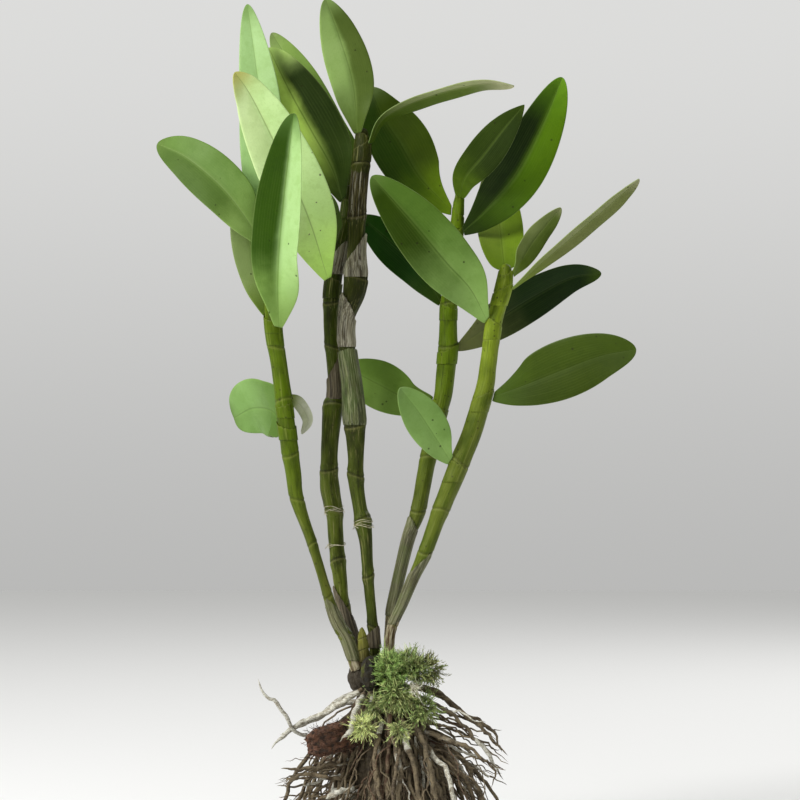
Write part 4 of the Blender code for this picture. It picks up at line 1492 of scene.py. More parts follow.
# Each leaf's tones hold painted light and shade as well as its own colour: the leaves on cane_right_back and
# leaf_right_low are painted dark as shade, leaf_centre_front is painted light, and the halves of
# leaf_left_front are a lit and a shaded half.
LEAVES = (
    Leaf(
        "leaf_left_front", CANE_LEFT, 250, ((-55, -30, 279), (-52, -33, 314), (-47, -40, 355)), 27,
        (-28, -24), 30, 0.5, 0.8,
        LeafFinish((46, 76, 1), (168, 202, 134), (152, 188, 98), (86, 118, 52), (84, 118, 30), 0.5, 0.28),
    ),
    Leaf(
        "leaf_left_back", CANE_LEFT, 256, ((-66, -9, 279), (-71, -2, 300), (-74, 4, 322)), 20, (-10, -10),
        finish=LeafFinish((116, 134, 78), (92, 116, 46), (100, 122, 40), (120, 140, 84)),
    ),
    Leaf(
        "leaf_left_side", CANE_LEFT, 291, ((-80, -18, 316), (-100, -8, 334), (-116.5, 6, 342.5)), 26, (5, 5),
        12,
        finish=LeafFinish((80, 106, 42), (100, 130, 60), (128, 156, 82), (98, 124, 56), (122, 146, 84), 0.5),
    ),
    Leaf(
        "leaf_left_top", CANE_LEFT, 288,
        ((-62, -7, 310), (-64, -2, 340), (-65.5, -1, 369), (-71.5, 6, 412.5)), 22, (-14, 5), 5,
        finish=LeafFinish(
            (160, 196, 128), (178, 212, 146), (140, 168, 104), (138, 172, 102), (120, 156, 84), 0.5,
        ),
    ),
    Leaf(
        "leaf_left_low", CANE_LEFT, 203, ((-59, -4, 209), (-69, 14, 210), (-79, 30, 205)), 31, (-50, 10), 6,
        0.36,
        finish=LeafFinish(
            (112, 146, 76), (128, 164, 92), (84, 112, 46), (100, 128, 66), (70, 96, 40), 0.3, 0.5,
        ),
        taper=1.8, base_half=9.0, twist_length=0.1,
    ),
    Leaf(
        "leaf_left_tiny", CANE_LEFT, 214, ((-45, -9, 212), (-41, -8, 204), (-44, -9, 197)), 6,
        finish=LeafFinish(
            (206, 208, 186), (190, 194, 164), (112, 126, 58), (214, 214, 196), (160, 166, 128), 0.3,
        ),
    ),
    Leaf(
        "leaf_centre_front", CANE_MIDDLE_LEFT, 274,
        ((-41, -14, 306), (-56, -22, 339), (-68.5, -29, 364), (-76.5, -35, 375.5)), 31, (0, 10), 12,
        finish=LeafFinish(
            (226, 250, 182), (214, 246, 170), (192, 234, 116), (202, 196, 110), (118, 150, 76), 0.55, 0.4,
        ),
    ),
    # painted light on the tip and painted shade on the near-black second half.
    Leaf(
        "leaf_centre_middle", CANE_MIDDLE_LEFT, 314,
        ((-29, 3, 330), (-39, 4, 348), (-51, 7, 370), (-61, 12, 391)), 25, sides_wide=(1.0, 1.35),
        finish=LeafFinish(
            (191, 222, 104), (30, 46, 1), (44, 62, 6), (222, 254, 150), (60, 84, 24), 0.5, 0.45, 0.4,
            roughness=0.75,
        ),
    ),
    Leaf(
        "leaf_centre_back", CANE_MIDDLE_LEFT, 317,
        ((-23, 19, 334), (-34, 22, 352), (-47, 26, 378), (-60, 31, 400)), 22,
        finish=LeafFinish((150, 178, 100), (136, 166, 80), (70, 86, 26), (120, 138, 82)),
    ),
    Leaf(
        "leaf_centre_small", CANE_MIDDLE_LEFT, 291, ((-30.5, 2, 304), (-33, -2, 319)), 12, (30, 30), 30,
        finish=LeafFinish((120, 148, 84), (92, 116, 50), (96, 116, 50), (126, 148, 92)),
    ),
    Leaf(
        "leaf_middle_top", CANE_MIDDLE, 347, ((-18.5, -8, 372), (-25, -13, 394), (-32, -20, 413)), 23,
        finish=LeafFinish(
            (156, 186, 108), (80, 98, 36), (74, 92, 32), (128, 152, 88), (84, 108, 46), 0.45, 0.4,
        ),
    ),
    Leaf(
        "leaf_middle_side", CANE_MIDDLE, 342,
        ((-2.5, -8, 355), (20, -17, 365), (45, -25, 370.5), (61.5, -29, 369)), 20, (68, 60), 12,
        sides_wide=(0.7, 0.8), taper=0.3,
        finish=LeafFinish(
            (162, 170, 118), (92, 112, 42), (62, 84, 8), (186, 184, 150), (70, 84, 30), 0.5, 0.5, 0.5,
            veins=8.0,
        ),
    ),
    Leaf(
        "leaf_back_big", CANE_RIGHT_BACK, 309, ((15, 13, 326), (5, 14, 343), (-4, 12, 357), (-10, 9, 371)),
        33,
        finish=LeafFinish(
            (44, 70, 2), (64, 84, 2), (104, 132, 18), (118, 138, 84), (44, 60, 6), 0.2, 0.3, 0.3,
        ),
    ),
    Leaf(
        "leaf_back_small", CANE_RIGHT_BACK, 316,
        ((37.5, -5, 325), (46, -15, 335), (57, -22, 349), (66.5, -27, 360)), 18, (-8, 2), 8, 0.8, 1.15,
        LeafFinish(
            (42, 60, 1), (34, 50, 1), (104, 134, 24), (54, 72, 4), (80, 104, 30), 0.45, 0.35, roughness=0.7,
        ),
    ),
    Leaf(
        "leaf_back_right", CANE_RIGHT_BACK, 299, ((48, 5, 309), (63, 1, 326), (76, 3, 351), (86.5, 10, 376)),
        26, (0, 10),
        finish=LeafFinish(
            (20, 38, 1), (86, 122, 4), (40, 60, 6), (102, 146, 30), (76, 108, 30), 0.5, 0.4, 0.45,
        ),
    ),
    # painted shade: this leaf's near-black green stands for the shade it sits in behind the canes.
    Leaf(
        "leaf_back_dark", CANE_RIGHT_BACK, 263, ((14, 22, 281), (0, 28, 294), (-15, 32, 307)), 23,
        finish=LeafFinish((20, 60, 0), (24, 64, 0), (50, 74, 8), (44, 68, 14), (20, 36, 2), 0.3),
    ),
    Leaf(
        "leaf_back_low_right", CANE_RIGHT_BACK, 241,
        ((55, 18, 255), (75, 22, 267.5), (92, 27, 276), (107, 32, 278)), 22, (15, 25),
        finish=LeafFinish((18, 44, 0), (16, 38, 0), (112, 116, 70), (60, 80, 16), (18, 34, 1), 0.3, 0.35),
    ),
    Leaf(
        "leaf_back_low_left", CANE_RIGHT_BACK, 212, ((10, 19, 214), (-6, 25, 222), (-23, 32, 231)), 27,
        finish=LeafFinish((122, 154, 68), (108, 140, 54), (72, 96, 20), (112, 140, 66), (80, 106, 38), 0.35),
    ),
    Leaf(
        "leaf_right_upright", CANE_RIGHT_FRONT, 279, ((56, 13, 295), (54, 26, 315), (54, 35, 336)), 23,
        taper=1.1, base_half=5.0,
        finish=LeafFinish(
            (104, 112, 58), (104, 130, 14), (112, 140, 26), (66, 90, 14), (80, 100, 20), 0.4, 0.6,
        ),
    ),
    Leaf(
        "leaf_right_small", CANE_RIGHT_FRONT, 277, ((72, -12, 294), (85, -16, 309.5)), 12, (20, 20), 12,
        finish=LeafFinish(
            (114, 126, 72), (80, 96, 34), (108, 130, 40), (142, 146, 104), (70, 86, 32), 0.4, veins=10.0,
        ),
    ),
    Leaf(
        "leaf_right_long", CANE_RIGHT_FRONT, 270,
        ((77.5, -17, 284), (100, -24, 303), (115, -30, 316), (123, -34, 323)), 18, (50, 46), 12,
        finish=LeafFinish(
            (132, 140, 90), (112, 120, 66), (112, 132, 40), (158, 158, 124), (78, 90, 34), 0.6, veins=4.0,
        ),
        sides_wide=(0.62, 0.85), base_half=1.3, taper=0.2,
    ),
    Leaf(
        "leaf_right_front", CANE_RIGHT_FRONT, 253,
        ((40, -20, 269), (28, -25, 282), (12, -29, 301), (-9, -32, 324.5)), 30, (0, 0), 16,
        finish=LeafFinish(
            (46, 68, 1), (74, 104, 30), (136, 170, 90), (92, 118, 52), (54, 74, 18), 0.4, 0.5, 0.25,
        ),
    ),
    Leaf(
        "leaf_right_low", CANE_RIGHT_FRONT, 217,
        ((66, -14, 221), (87, -21, 229.5), (105, -27, 236), (121.5, -33, 239)), 31, (-10, 0), 7, 0.5, 0.78,
        LeafFinish((56, 74, 3), (52, 68, 2), (62, 84, 8), (58, 76, 6), (46, 62, 1), 0.1, 0.25),
    ),
    Leaf(
        "leaf_right_low_front", CANE_RIGHT_FRONT, 182, ((23.5, -15, 194), (15, -21, 207), (5, -29, 220)), 21,
        finish=LeafFinish(
            (126, 160, 86), (120, 154, 80), (136, 170, 92), (118, 148, 84), (96, 130, 60), 0.45,
        ),
    ),
)


# Roots and rhizome


@dataclass(frozen=True)
class RootForm:
    """The ranges of a spreading root's reach, swerve, radius and slope, its unevenness and its stations."""

    reach: tuple
    swerve: tuple
    radius: tuple
    slope: tuple
    uneven: float
    segments: int


@dataclass(frozen=True)
class SideForm:
    """Roots that stand out to one side: how many, and the ranges of their height, depth and kept height."""

    side: int
    count: int
    tops: tuple
    depths: tuple
    kept: tuple


@dataclass(frozen=True)
class RootMass:
    """The rhizome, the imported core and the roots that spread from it."""

    foot_radius: float = 24.0
    top_radius: float = 13.0
    height: float = 72.0
    lumps: tuple = (
        ((-13.5, 0, 76), (8, 10, 10)),
        ((-6, 0, 78), (9, 10, 10)),
        ((1, 1, 78), (8, 10, 11)),
    )
    spread: tuple = (61.0, 41.0)
    main_count: int = 52
    fine_count: int = 232
    collar_count: int = 46
    seed: int = 11
    moss_centre: tuple = (10, -12, 77)
    moss_radii: tuple = (15, 9, 11)
    moss_clearance: float = 3.0
    bark_centre: tuple = (-26, -17, 45)
    silvery: tuple = (0, 1, 2, 6, 7)
    main_form: RootForm = RootForm((0.7, 1.0), (-0.35, 0.35), (1.2, 1.9), (0.42, 0.9), 0.05, 6)
    fine_form: RootForm = RootForm((0.45, 1.0), (-0.7, 0.7), (0.25, 0.85), (0.3, 0.95), 0.1, 9)
    side_forms: tuple = (
        SideForm(1, 20, (28, 66), (-27, 14), (0.45, 0.85)),
        SideForm(-1, 14, (14, 38), (-26, 12), (0.6, 1.0)),
    )
    deepest: float = 44.4
    sides: int = 7
    rows: int = 30
    singles: tuple = (
        ((-10, 2, 44, 1.8), (-30, 0, 47, 1.8), (-44, -6, 47, 1.8), (-50, -9, 53, 1.9), (-54, -10, 60, 1.9),
         (-57, -11, 64, 2.0), (-61, -11, 65, 1.8), (-64, -10, 70, 1.8), (-66, -9, 75, 1.6)),
        ((-10, -2, 68, 3.0), (-22, -4, 66, 3.0), (-33, -6, 58, 2.9), (-46, -7, 52, 2.6), (-56, -8, 44, 2.0),
         (-59, -8, 40, 1.2)),
        ((-8, 2, 64, 2.6), (-24, 2, 62, 2.8), (-36, 2, 55, 2.6), (-48, 1, 50, 2.2), (-55, 0, 46, 1.2)),
        ((-14, -6, 31, 2.6), (-30, -11, 32, 2.6), (-42, -12, 30, 2.4), (-54, -13, 31, 1.6)),
        ((-16, -8, 24, 2.6), (-28, -15, 26, 2.8), (-41, -17, 28, 2.6), (-53, -19, 24, 1.8)),
        ((-14, -12, 22, 2.6), (-24, -22, 20, 2.6), (-34, -25, 17, 2.2), (-43, -27, 14, 1.6)),
        ((-13, -12, 68, 2.6), (-17, -21, 60, 2.8), (-20, -27, 51, 2.8), (-25, -29, 45, 0.8)),
        ((-14, -10, 70, 2.5), (-22, -14, 65, 2.8), (-32, -16, 59, 2.6), (-42, -18, 55, 1.6)),
        ((10, -4, 72, 2.6), (24, -8, 68, 3), (38, -12, 57, 2.6), (50, -14, 47, 2.2), (58, -13, 37, 1.6)),
        ((9, 2, 70, 2.4), (22, 2, 67, 2.6), (36, 0, 58, 2.4), (50, -2, 50, 2.2), (56, -3, 38, 1.6)),
        ((11, -10, 68, 2.2), (25, -15, 62, 2.4), (38, -18, 51, 2.2), (49, -20, 38, 2), (56, -18, 26, 1.6)),
        ((14, -12, 50, 2.4), (28, -22, 46, 2.4), (42, -25, 40, 2), (52, -26, 30, 1.6), (50, -27, 22, 1.2)),
        ((12, -16, 54, 3), (17, -26, 44, 3.2), (20, -31, 30, 3.2), (23, -34, 14, 2.8), (24, -36, 2, 2.2)),
        ((6, -18, 56, 2.6), (9, -27, 42, 3.2), (13, -32, 28, 3), (15, -35, 12, 2.6), (14, -37, 1.6, 2)),
        ((-4, -18, 54, 2.4), (-7, -27, 40, 2.6), (-7, -31, 24, 3), (-9, -35, 10, 2.6), (-10, -37, 1.6, 2)),
        ((0, -18, 56, 2), (2, -27, 44, 2.4), (5, -31, 30, 2.8), (4, -35, 16, 2.6), (6, -37, 1.6, 2)),
    )
    finish: RootFinish = RootFinish()

    def core_radius(self, height: float) -> float:
        """Return the core's radius at a height."""
        return self.foot_radius + (self.top_radius - self.foot_radius) * height / self.height

    def start(self, angle: float) -> float:
        """Return the height where a root at an angle leaves the core: low behind the bark and the moss."""
        for centre, nearness, height in ((self.bark_centre, 32, 27.0), (self.moss_centre, 100, 58.0)):
            if angular_gap(angle, math.atan2(centre[1], centre[0])) < math.radians(nearness):
                return height
        return 68.0

    def below_moss(self, row: list) -> list:
        """Bend one station of a root down until it is clear of the moss."""
        aside = 0.0
        for axis in range(2):
            reach = self.moss_radii[axis] + self.moss_clearance
            aside += ((row[axis] - self.moss_centre[axis]) / reach) ** 2
        if aside < 1:
            drop = (self.moss_radii[2] + self.moss_clearance) * math.sqrt(1 - aside)
            row[2] = min(row[2], self.moss_centre[2] - drop)
        return row

    def fan_root(self, draw: random.Random, angle: float, top: float, form: RootForm) -> list:
        """Return the stations of one root that runs down and outwards, with its end bent to the ground.

        Args:
            draw: The random numbers.
            angle: Its direction.
            top: The height where it leaves the core.
            form: The ranges that it is drawn from.

        Returns:
            Rows of x, y, z and diameter.
        """
        reach, swerve = draw.uniform(*form.reach), draw.uniform(*form.swerve)
        radius, slope = draw.uniform(*form.radius), draw.uniform(*form.slope)
        across = math.hypot(self.spread[0] * math.cos(angle), self.spread[1] * math.sin(angle)) * reach
        inner = self.core_radius(top) * 0.6
        path = []
        for step in range(form.segments + 1):
            share = 1 - (1 - step / form.segments) ** 1.3
            turn = angle + swerve * share + draw.uniform(-form.uneven, form.uneven)
            out = inner + (across - inner) * share
            fallen = slope * share + (1 - slope) * share ** 6
            level = top * (1 - fallen) + radius + 0.1
            thick = 2 * radius * (1 - 0.35 * share)
            path.append(self.below_moss([out * math.cos(turn), out * math.sin(turn), level, thick]))
        return path

    def main_root(self, index: int, draw: random.Random) -> list:
        """Return the stations of one of the thick roots.

        Args:
            index: The root's number.
            draw: The random numbers.

        Returns:
            Rows of x, y, z and diameter.
        """
        angle = FULL_TURN * (index + draw.uniform(-0.3, 0.3)) / self.main_count
        return self.fan_root(draw, angle, self.start(angle) - draw.uniform(0, 10), self.main_form)

    def fine_root(self, draw: random.Random) -> list:
        """Return the stations of one thinner root.

        Args:
            draw: The random numbers.

        Returns:
            Rows of x, y, z and diameter.
        """
        angle = draw.uniform(0, FULL_TURN)
        top = self.start(angle) - draw.uniform(0, 40) * draw.random()
        return self.fan_root(draw, angle, max(top, 10), self.fine_form)

    def side_root(self, draw: random.Random, form: SideForm) -> list:
        """Return the stations of one root that stands out sideways, high above the ground.

        Args:
            draw: The random numbers.
            form: Its side and the ranges that it is drawn from.

        Returns:
            Rows of x, y, z and diameter.
        """
        top, depth = draw.uniform(*form.tops), draw.uniform(*form.depths)
        end = top * draw.uniform(*form.kept)
        reach, thick = draw.uniform(42, 59), draw.uniform(0.9, 2.3)
        path = []
        for step in range(7):
            share = step / 6
            out = 8 + (reach - 8) * share
            aside = depth * (0.45 + 0.55 * share) + draw.uniform(-1.6, 1.6)
            level = top + (end - top) * share ** 1.6 + draw.uniform(-1, 1)
            path.append(self.below_moss([form.side * out, aside, level, thick * (1 - 0.4 * share)]))
        return path

    def collar_root(self, draw: random.Random) -> list:
        """Return the stations of one root that starts at the rhizome's skin and hides the core.

        Args:
            draw: The random numbers.

        Returns:
            Rows of x, y, z and diameter.
        """
        angle, top = draw.uniform(0, FULL_TURN), draw.uniform(66, 74)
        radius, turn = draw.uniform(0.6, 1.4), draw.uniform(-0.5, 0.5)
        path = []
        course = ((top, 9), (top - 5, 13.5), (top - 20, 18), (top - 38, 24), (top - 58, 30), (3, 35))
        for level, out in course:
            aside = angle + turn * (top - level) / top + draw.uniform(-0.06, 0.06)
            reach = out + draw.uniform(0.2, 2.4)
            spot = [reach * math.cos(aside), reach * math.sin(aside), level, 2 * radius]
            path.append(self.below_moss(spot))
        return path

    def build_core(self) -> bpy.types.Object:
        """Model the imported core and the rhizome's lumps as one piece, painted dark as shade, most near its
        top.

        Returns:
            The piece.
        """
        deselect_all()
        bpy.ops.mesh.primitive_cone_add(
            vertices=96,
            radius1=self.foot_radius * MM,
            radius2=self.top_radius * MM,
            depth=self.height * MM,
            location=(0, 0, self.height / 2 * MM),
        )
        core = bpy.context.object
        core.name = "rhizome_and_core"
        for centre, radii in self.lumps:
            bpy.ops.mesh.primitive_uv_sphere_add(
                segments=48, ring_count=24, radius=1, location=[value * MM for value in centre],
                scale=[value * MM for value in radii],
            )
            join(core, bpy.context.object)
        choose(core)
        bpy.ops.object.transform_apply(location=True, rotation=True, scale=True)
        apply_modifier(core, "REMESH", mode="VOXEL", voxel_size=1.1 * MM)
        points = read_points(core)
        facing = np.zeros(len(points) * 3, np.float32)
        core.data.vertices.foreach_get("normal", facing)
        push, depth_shade = [], []
        for point in points:
            angle = math.atan2(point[1], point[0])
            strand = math.sin(angle * 30 + 2.5 * noise.noise(Vector(point) * 0.07))
            rough = noise.noise(Vector((point[0] * 0.3, point[1] * 0.3, point[2] * 0.12)))
            grain = noise.noise(Vector((point[0] * 0.9, point[1] * 0.9, point[2] * 0.4)))
            push.append((0.4 * strand + 1.2 * rough + 0.6 * grain - 1.2) * min(max(point[2] / 6, 0), 1))
            # painted shade on the core, stronger within 12 mm of its top, under the moss and the canes.
            depth_shade.append(0.66 + 0.2 * min(max((point[2] - self.height + 12) / 12, 0), 1))
        points += facing.reshape(-1, 3) * np.array(push)[:, None]
        place_points(core, points)
        write_values(core, "depth_shade", np.array(depth_shade))
        write_values(core, "velamen", np.full(len(points), -0.5))
        write_values(core, "rust", np.full(len(points), 0.35))
        return core

    def paths(self, extra: random.Random) -> tuple[list, int]:
        """Return the stations of every root.

        Args:
            extra: The random numbers of the thin roots.

        Returns:
            The roots' stations, the thick roots first, and how many are thick.
        """
        draw, spread = random.Random(self.seed), random.Random(self.seed + 2)
        mains = [self.main_root(index, draw) for index in range(self.main_count)]
        outward = [self.side_root(spread, form) for form in self.side_forms for _ in range(form.count)]
        fines = [self.fine_root(extra) for _ in range(self.fine_count)]
        collars = [self.collar_root(extra) for _ in range(self.collar_count)]
        thick = [*mains, *self.singles, *outward]
        return [*thick, *collars, *fines], len(thick)

    def wander(self, index: int) -> np.ndarray:
        """Return how far each row of a root strays from its smooth path.

        Args:
            index: The root's number.

        Returns:
            A row of x, y and z for each row of the root, from nothing at its start.
        """
        stray = np.zeros((self.rows + 1, 3))
        for pitch, apart, turn, size in ((0.42, 3.7, 9.1, 1.5), (1.1, 5.3, 7.7, 0.6)):
            for row in range(self.rows + 1):
                for axis in range(3):
                    stray[row, axis] += size * noise.noise(Vector((row * pitch, index * apart, axis * turn)))
        return stray * np.clip(np.linspace(0, 5, self.rows + 1), 0, 1)[:, None]

    def coat(self, extra: random.Random, thick: bool, silvery: bool) -> np.ndarray:
        """Return where a root has its pale coat.

        Args:
            extra: The random numbers.
            thick: Whether it is one of the thick roots.
            silvery: Whether it is coated all along.

        Returns:
            One value from zero to one for each row of the root.
        """
        pale_from = extra.uniform(-0.2, 0.7)
        pale_to = pale_from + extra.uniform(0.15, 0.6)
        coated = extra.random() < (0.6 if thick else 0.25)
        if silvery:
            pale_from, pale_to, coated = 0.04, 1.1, True
        along = np.linspace(0, 1, self.rows + 1)
        coat = ((along > pale_from) & (along < pale_to)) * (1.0 if coated else 0.0)
        return np.convolve(np.pad(coat, 1, mode="edge"), np.ones(3) / 3, mode="valid")

    def build(self) -> bpy.types.Object:
        """Model the whole root mass and dress it.

        Returns:
            The piece.
        """
        extra = random.Random(self.seed + 1)
        paths, thick_count = self.paths(extra)
        sides, rows = self.sides, self.rows
        pattern, across, _ = grid("root_pattern", sides, rows)
        shapes, values = [], {"velamen": [], "rust": [], "depth_shade": []}
        for index, stations in enumerate(paths):
            thick, silvery = index < thick_count, index - self.main_count in self.silvery
            centres, radii = resample(smooth_path(stations, 1.0), rows)
            centres = centres + self.wander(index) * (0.6 if silvery else 1)
            coat = self.coat(extra, thick, silvery)
            radii = radii * (0.8 + 0.26 * coat) * (1 + 0.05 * np.sin(np.arange(rows + 1) * 1.9 + index))
            radii = radii * np.sqrt(np.clip(np.linspace(5, 0, rows + 1), 0, 1))
            centres[:, 1] = np.clip(centres[:, 1], radii - self.deepest, self.deepest - radii)
            centres[:, 2] = np.maximum(centres[:, 2], radii + 0.05)
            shapes.append(tube_points(centres, np.repeat(radii, sides + 1), across, sides))
            share = 1.1 if silvery else extra.uniform(0.35, 1.0)
            rusty = 1.0 if extra.random() < (0.08 if thick else 0.22) else extra.random() * 0.3
            values["velamen"].append(np.repeat(coat * share - 0.15, sides + 1))
            values["rust"].append(np.full(len(across), rusty))
            # painted shade: a random share for each root.
            values["depth_shade"].append(np.full(len(across), extra.random() * 0.3))
        roots = replicate("roots", pattern, shapes, values)
        close_seam(roots)
        join(roots, self.build_core())
        roots.name = "root_mass_roots"
        dress(roots, self.finish.material("root"), "root_mass")
        return roots


def angular_gap(first: float, second: float) -> float:
    """Return the angle between two directions, from zero to pi."""
    return abs((first - second + math.pi) % FULL_TURN - math.pi)


# Moss

SLIP_ROWS = ((0, 0.6), (0.35, 1.0), (0.75, 0.7), (1, 0.04))
SLIP_POINTS = 2 * len(SLIP_ROWS)


def slip(foot: Vector, lean: Vector, bend: Vector, length: float, width: float) -> np.ndarray:
    """Return the vertices of one narrow curved blade that ends in a point.

    Args:
        foot: Where it starts.
        lean: Its direction at the foot.
        bend: How far its end is pushed aside.
        length: Its length.
        width: Its half width.

    Returns:
        One row for each vertex of the pattern.
    """
    beside = lean.cross(bend + Vector((0.01, 0.02, 0.03))).normalized() * width
    rows = []
    for share, part in SLIP_ROWS:
        middle = foot + lean * (length * share) + bend * (share * share)
        rows.append(tuple(middle - beside * part))
        rows.append(tuple(middle + beside * part))
    return np.array(rows)


def scatter(draw: random.Random, size: float) -> Vector:
    """Return a random push of up to the given size along each axis."""
    return Vector([draw.uniform(-size, size) for _ in range(3)])


@dataclass(frozen=True)
class MossPatch:
    """One patch of moss: its centre and half sizes, its shoots and loose blades, its lift, and its freshness
    with painted light in it.
    """

    centre: tuple
    radii: tuple
    shoots: int
    blades: int
    lift: float = 0.6
    fresh_and_lit: float = 0.6
    straw: float = 0.0


@dataclass(frozen=True)
class Moss:
    """The moss tuft at the front of the crown and the wisps on the roots below it."""

    # Each patch's freshness holds painted light as well as the moss's own colour: the patches towards the key
    # lamp on the left are the greenest.
    patches: tuple = (
        MossPatch((0, -15, 79), (7, 7, 9), 220, 260, 0.6, 1.0),
        MossPatch((9, -13, 80), (9, 8, 8), 240, 300, 0.7, 0.5, 0.1),
        MossPatch((17.5, -12, 80), (6, 6, 6), 160, 150, 0.1, 0.1),
        MossPatch((3, -20, 67), (8, 4, 6), 90, 260, -0.8, 0.5, 0.5),
        MossPatch((17, -19, 61), (5.5, 4, 6), 90, 70, -0.1, 0.5, 0.1),
        MossPatch((-8, -20, 62), (3.5, 4, 6), 24, 90, -0.8, 0.55, 0.4),
        MossPatch((-13, -26, 52), (3, 3, 3.2), 60, 90, 0.2, 1.0, 3.0),
        MossPatch((5, -28, 51), (3, 2.5, 5), 24, 60, -0.6, 0.5, 0.8),
    )
    star: tuple = (12, -24.5, 71)
    star_blades: int = 110
    leaflets: int = 12
    seed: int = 5
    finish: MossFinish = MossFinish()

    def keep(self, values: dict[str, list], tone: float, fresh_and_lit: float, along: object) -> None:
        """Keep the values of one slip.

        Args:
            values: The lists of values by attribute.
            tone: How pale it is.
            fresh_and_lit: How green it is.
            along: How far out each of its vertices is, or all of them, which sets its painted shade.
        """
        for name, value in (("tone", tone), ("fresh_and_lit", fresh_and_lit), ("along", along)):
            values[name].append(np.broadcast_to(value, SLIP_POINTS))

    def shoot(self, patch: MossPatch, draw: random.Random, values: dict[str, list]) -> list[np.ndarray]:
        """Return the slips of one leafy shoot and keep their values.

        Args:
            patch: The patch that it grows in.
            draw: The random numbers.
            values: The lists of values by attribute.

        Returns:
            The vertices of each slip.
        """
        foot, outward, depth = self.foot(patch, draw)
        lean = (outward + Vector((0, 0, patch.lift)) + scatter(draw, 0.6)).normalized()
        length = draw.uniform(3.5, 6.5)
        bend = scatter(draw, 0.4) * length + Vector((0, 0, -0.12 * length))
        tone, fresh_and_lit = draw.random() * 0.6 + 0.4 * patch.straw, self.freshness(patch, foot)
        made = [slip(foot, lean, bend, length, 0.16)]
        self.keep(values, tone, fresh_and_lit, 0.3 * depth)
        side = lean.orthogonal().normalized()
        ends = np.repeat([row[0] for row in SLIP_ROWS], 2)
        for index in range(self.leaflets):
            share = 0.12 + 0.88 * index / (self.leaflets - 1)
            spot = foot + lean * (length * share) + bend * (share * share)
            ahead = (lean * length + bend * (2 * share)).normalized()
            ray = Matrix.Rotation(index * 2.4, 3, ahead) @ side
            out = (ahead * (0.55 + 0.35 * share) + ray * 0.75).normalized()
            reach = draw.uniform(1.2, 2.1) * (1.1 - 0.35 * share)
            made.append(slip(spot, out, ahead * 0.35 * reach, reach, draw.uniform(0.15, 0.25)))
            along = np.clip((0.25 + 0.6 * share + 0.35 * ends) * (0.35 + 0.65 * depth), 0, 1)
            self.keep(values, min(tone + 0.25 * draw.random(), 1.0), fresh_and_lit, along)
        return made

    def foot(self, patch: MossPatch, draw: random.Random) -> tuple[Vector, Vector, float]:
        """Return a place in a patch, its outward direction and its share of the depth."""
        turn, level = draw.uniform(0, FULL_TURN), draw.uniform(-0.9, 1.0)
        flat = math.sqrt(max(1 - level * level, 0))
        outward = Vector((math.cos(turn) * flat, math.sin(turn) * flat, level))
        depth = draw.uniform(0.3, 1.0) ** 0.6
        clump = 0.8 + 0.45 * noise.noise(outward * 2.2 + Vector(patch.centre))
        place = Vector(part * size * depth * clump for part, size in zip(outward, patch.radii))
        return Vector(patch.centre) + place, outward, depth

    def freshness(self, patch: MossPatch, foot: Vector) -> float:
        """Return how green the moss is at a place, painted light included."""
        return min(max(patch.fresh_and_lit + 0.7 * noise.noise(foot * 0.35), 0), 1)

    def build(self) -> bpy.types.Object:
        """Model the leafy shoots and the loose blades and dress them.

        Returns:
            The piece.
        """
        pattern, _, _ = grid("moss_pattern", 1, 3)
        draw = random.Random(self.seed)
        shapes, values = [], {"tone": [], "fresh_and_lit": [], "along": []}
        out = np.repeat([0.3, 0.6, 0.9, 1.0], 2)
        for patch in self.patches:
            for _ in range(patch.shoots):
                shapes.extend(self.shoot(patch, draw, values))
            for _ in range(patch.blades):
                foot, outward, depth = self.foot(patch, draw)
                lean = (outward + Vector((0, 0, patch.lift)) + scatter(draw, 0.9)).normalized()
                length = draw.uniform(3, 8)
                shapes.append(slip(foot, lean, scatter(draw, 0.6) * length, length, draw.uniform(0.12, 0.22)))
                tone = draw.random() + 0.25 * patch.straw
                self.keep(values, tone, self.freshness(patch, foot), out * depth)
        item = replicate("moss_tuft_blades", pattern, shapes, values)
        dress(item, self.finish.material("moss"), "moss_tuft")
        return item

    def build_star(self) -> bpy.types.Object:
        """Model the small star of pale fibres in the moss and dress it.

        Returns:
            The piece.
        """
        pattern, _, _ = grid("star_pattern", 1, 3)
        draw = random.Random(self.seed + 1)
        shapes = []
        for _ in range(self.star_blades):
            lean = (scatter(draw, 1.0) + Vector((0.1, -0.5, 0.1))).normalized()
            length = draw.uniform(2, 6)
            spot = Vector(self.star) + scatter(draw, 1.2)
            shapes.append(slip(spot, lean, scatter(draw, 0.5) * length, length, draw.uniform(0.09, 0.17)))
        item = replicate("moss_pale_fibres", pattern, shapes, {})
        dress(item, ThreadFinish().material("pale_fibres"))
        return item


# Small pieces at the crown


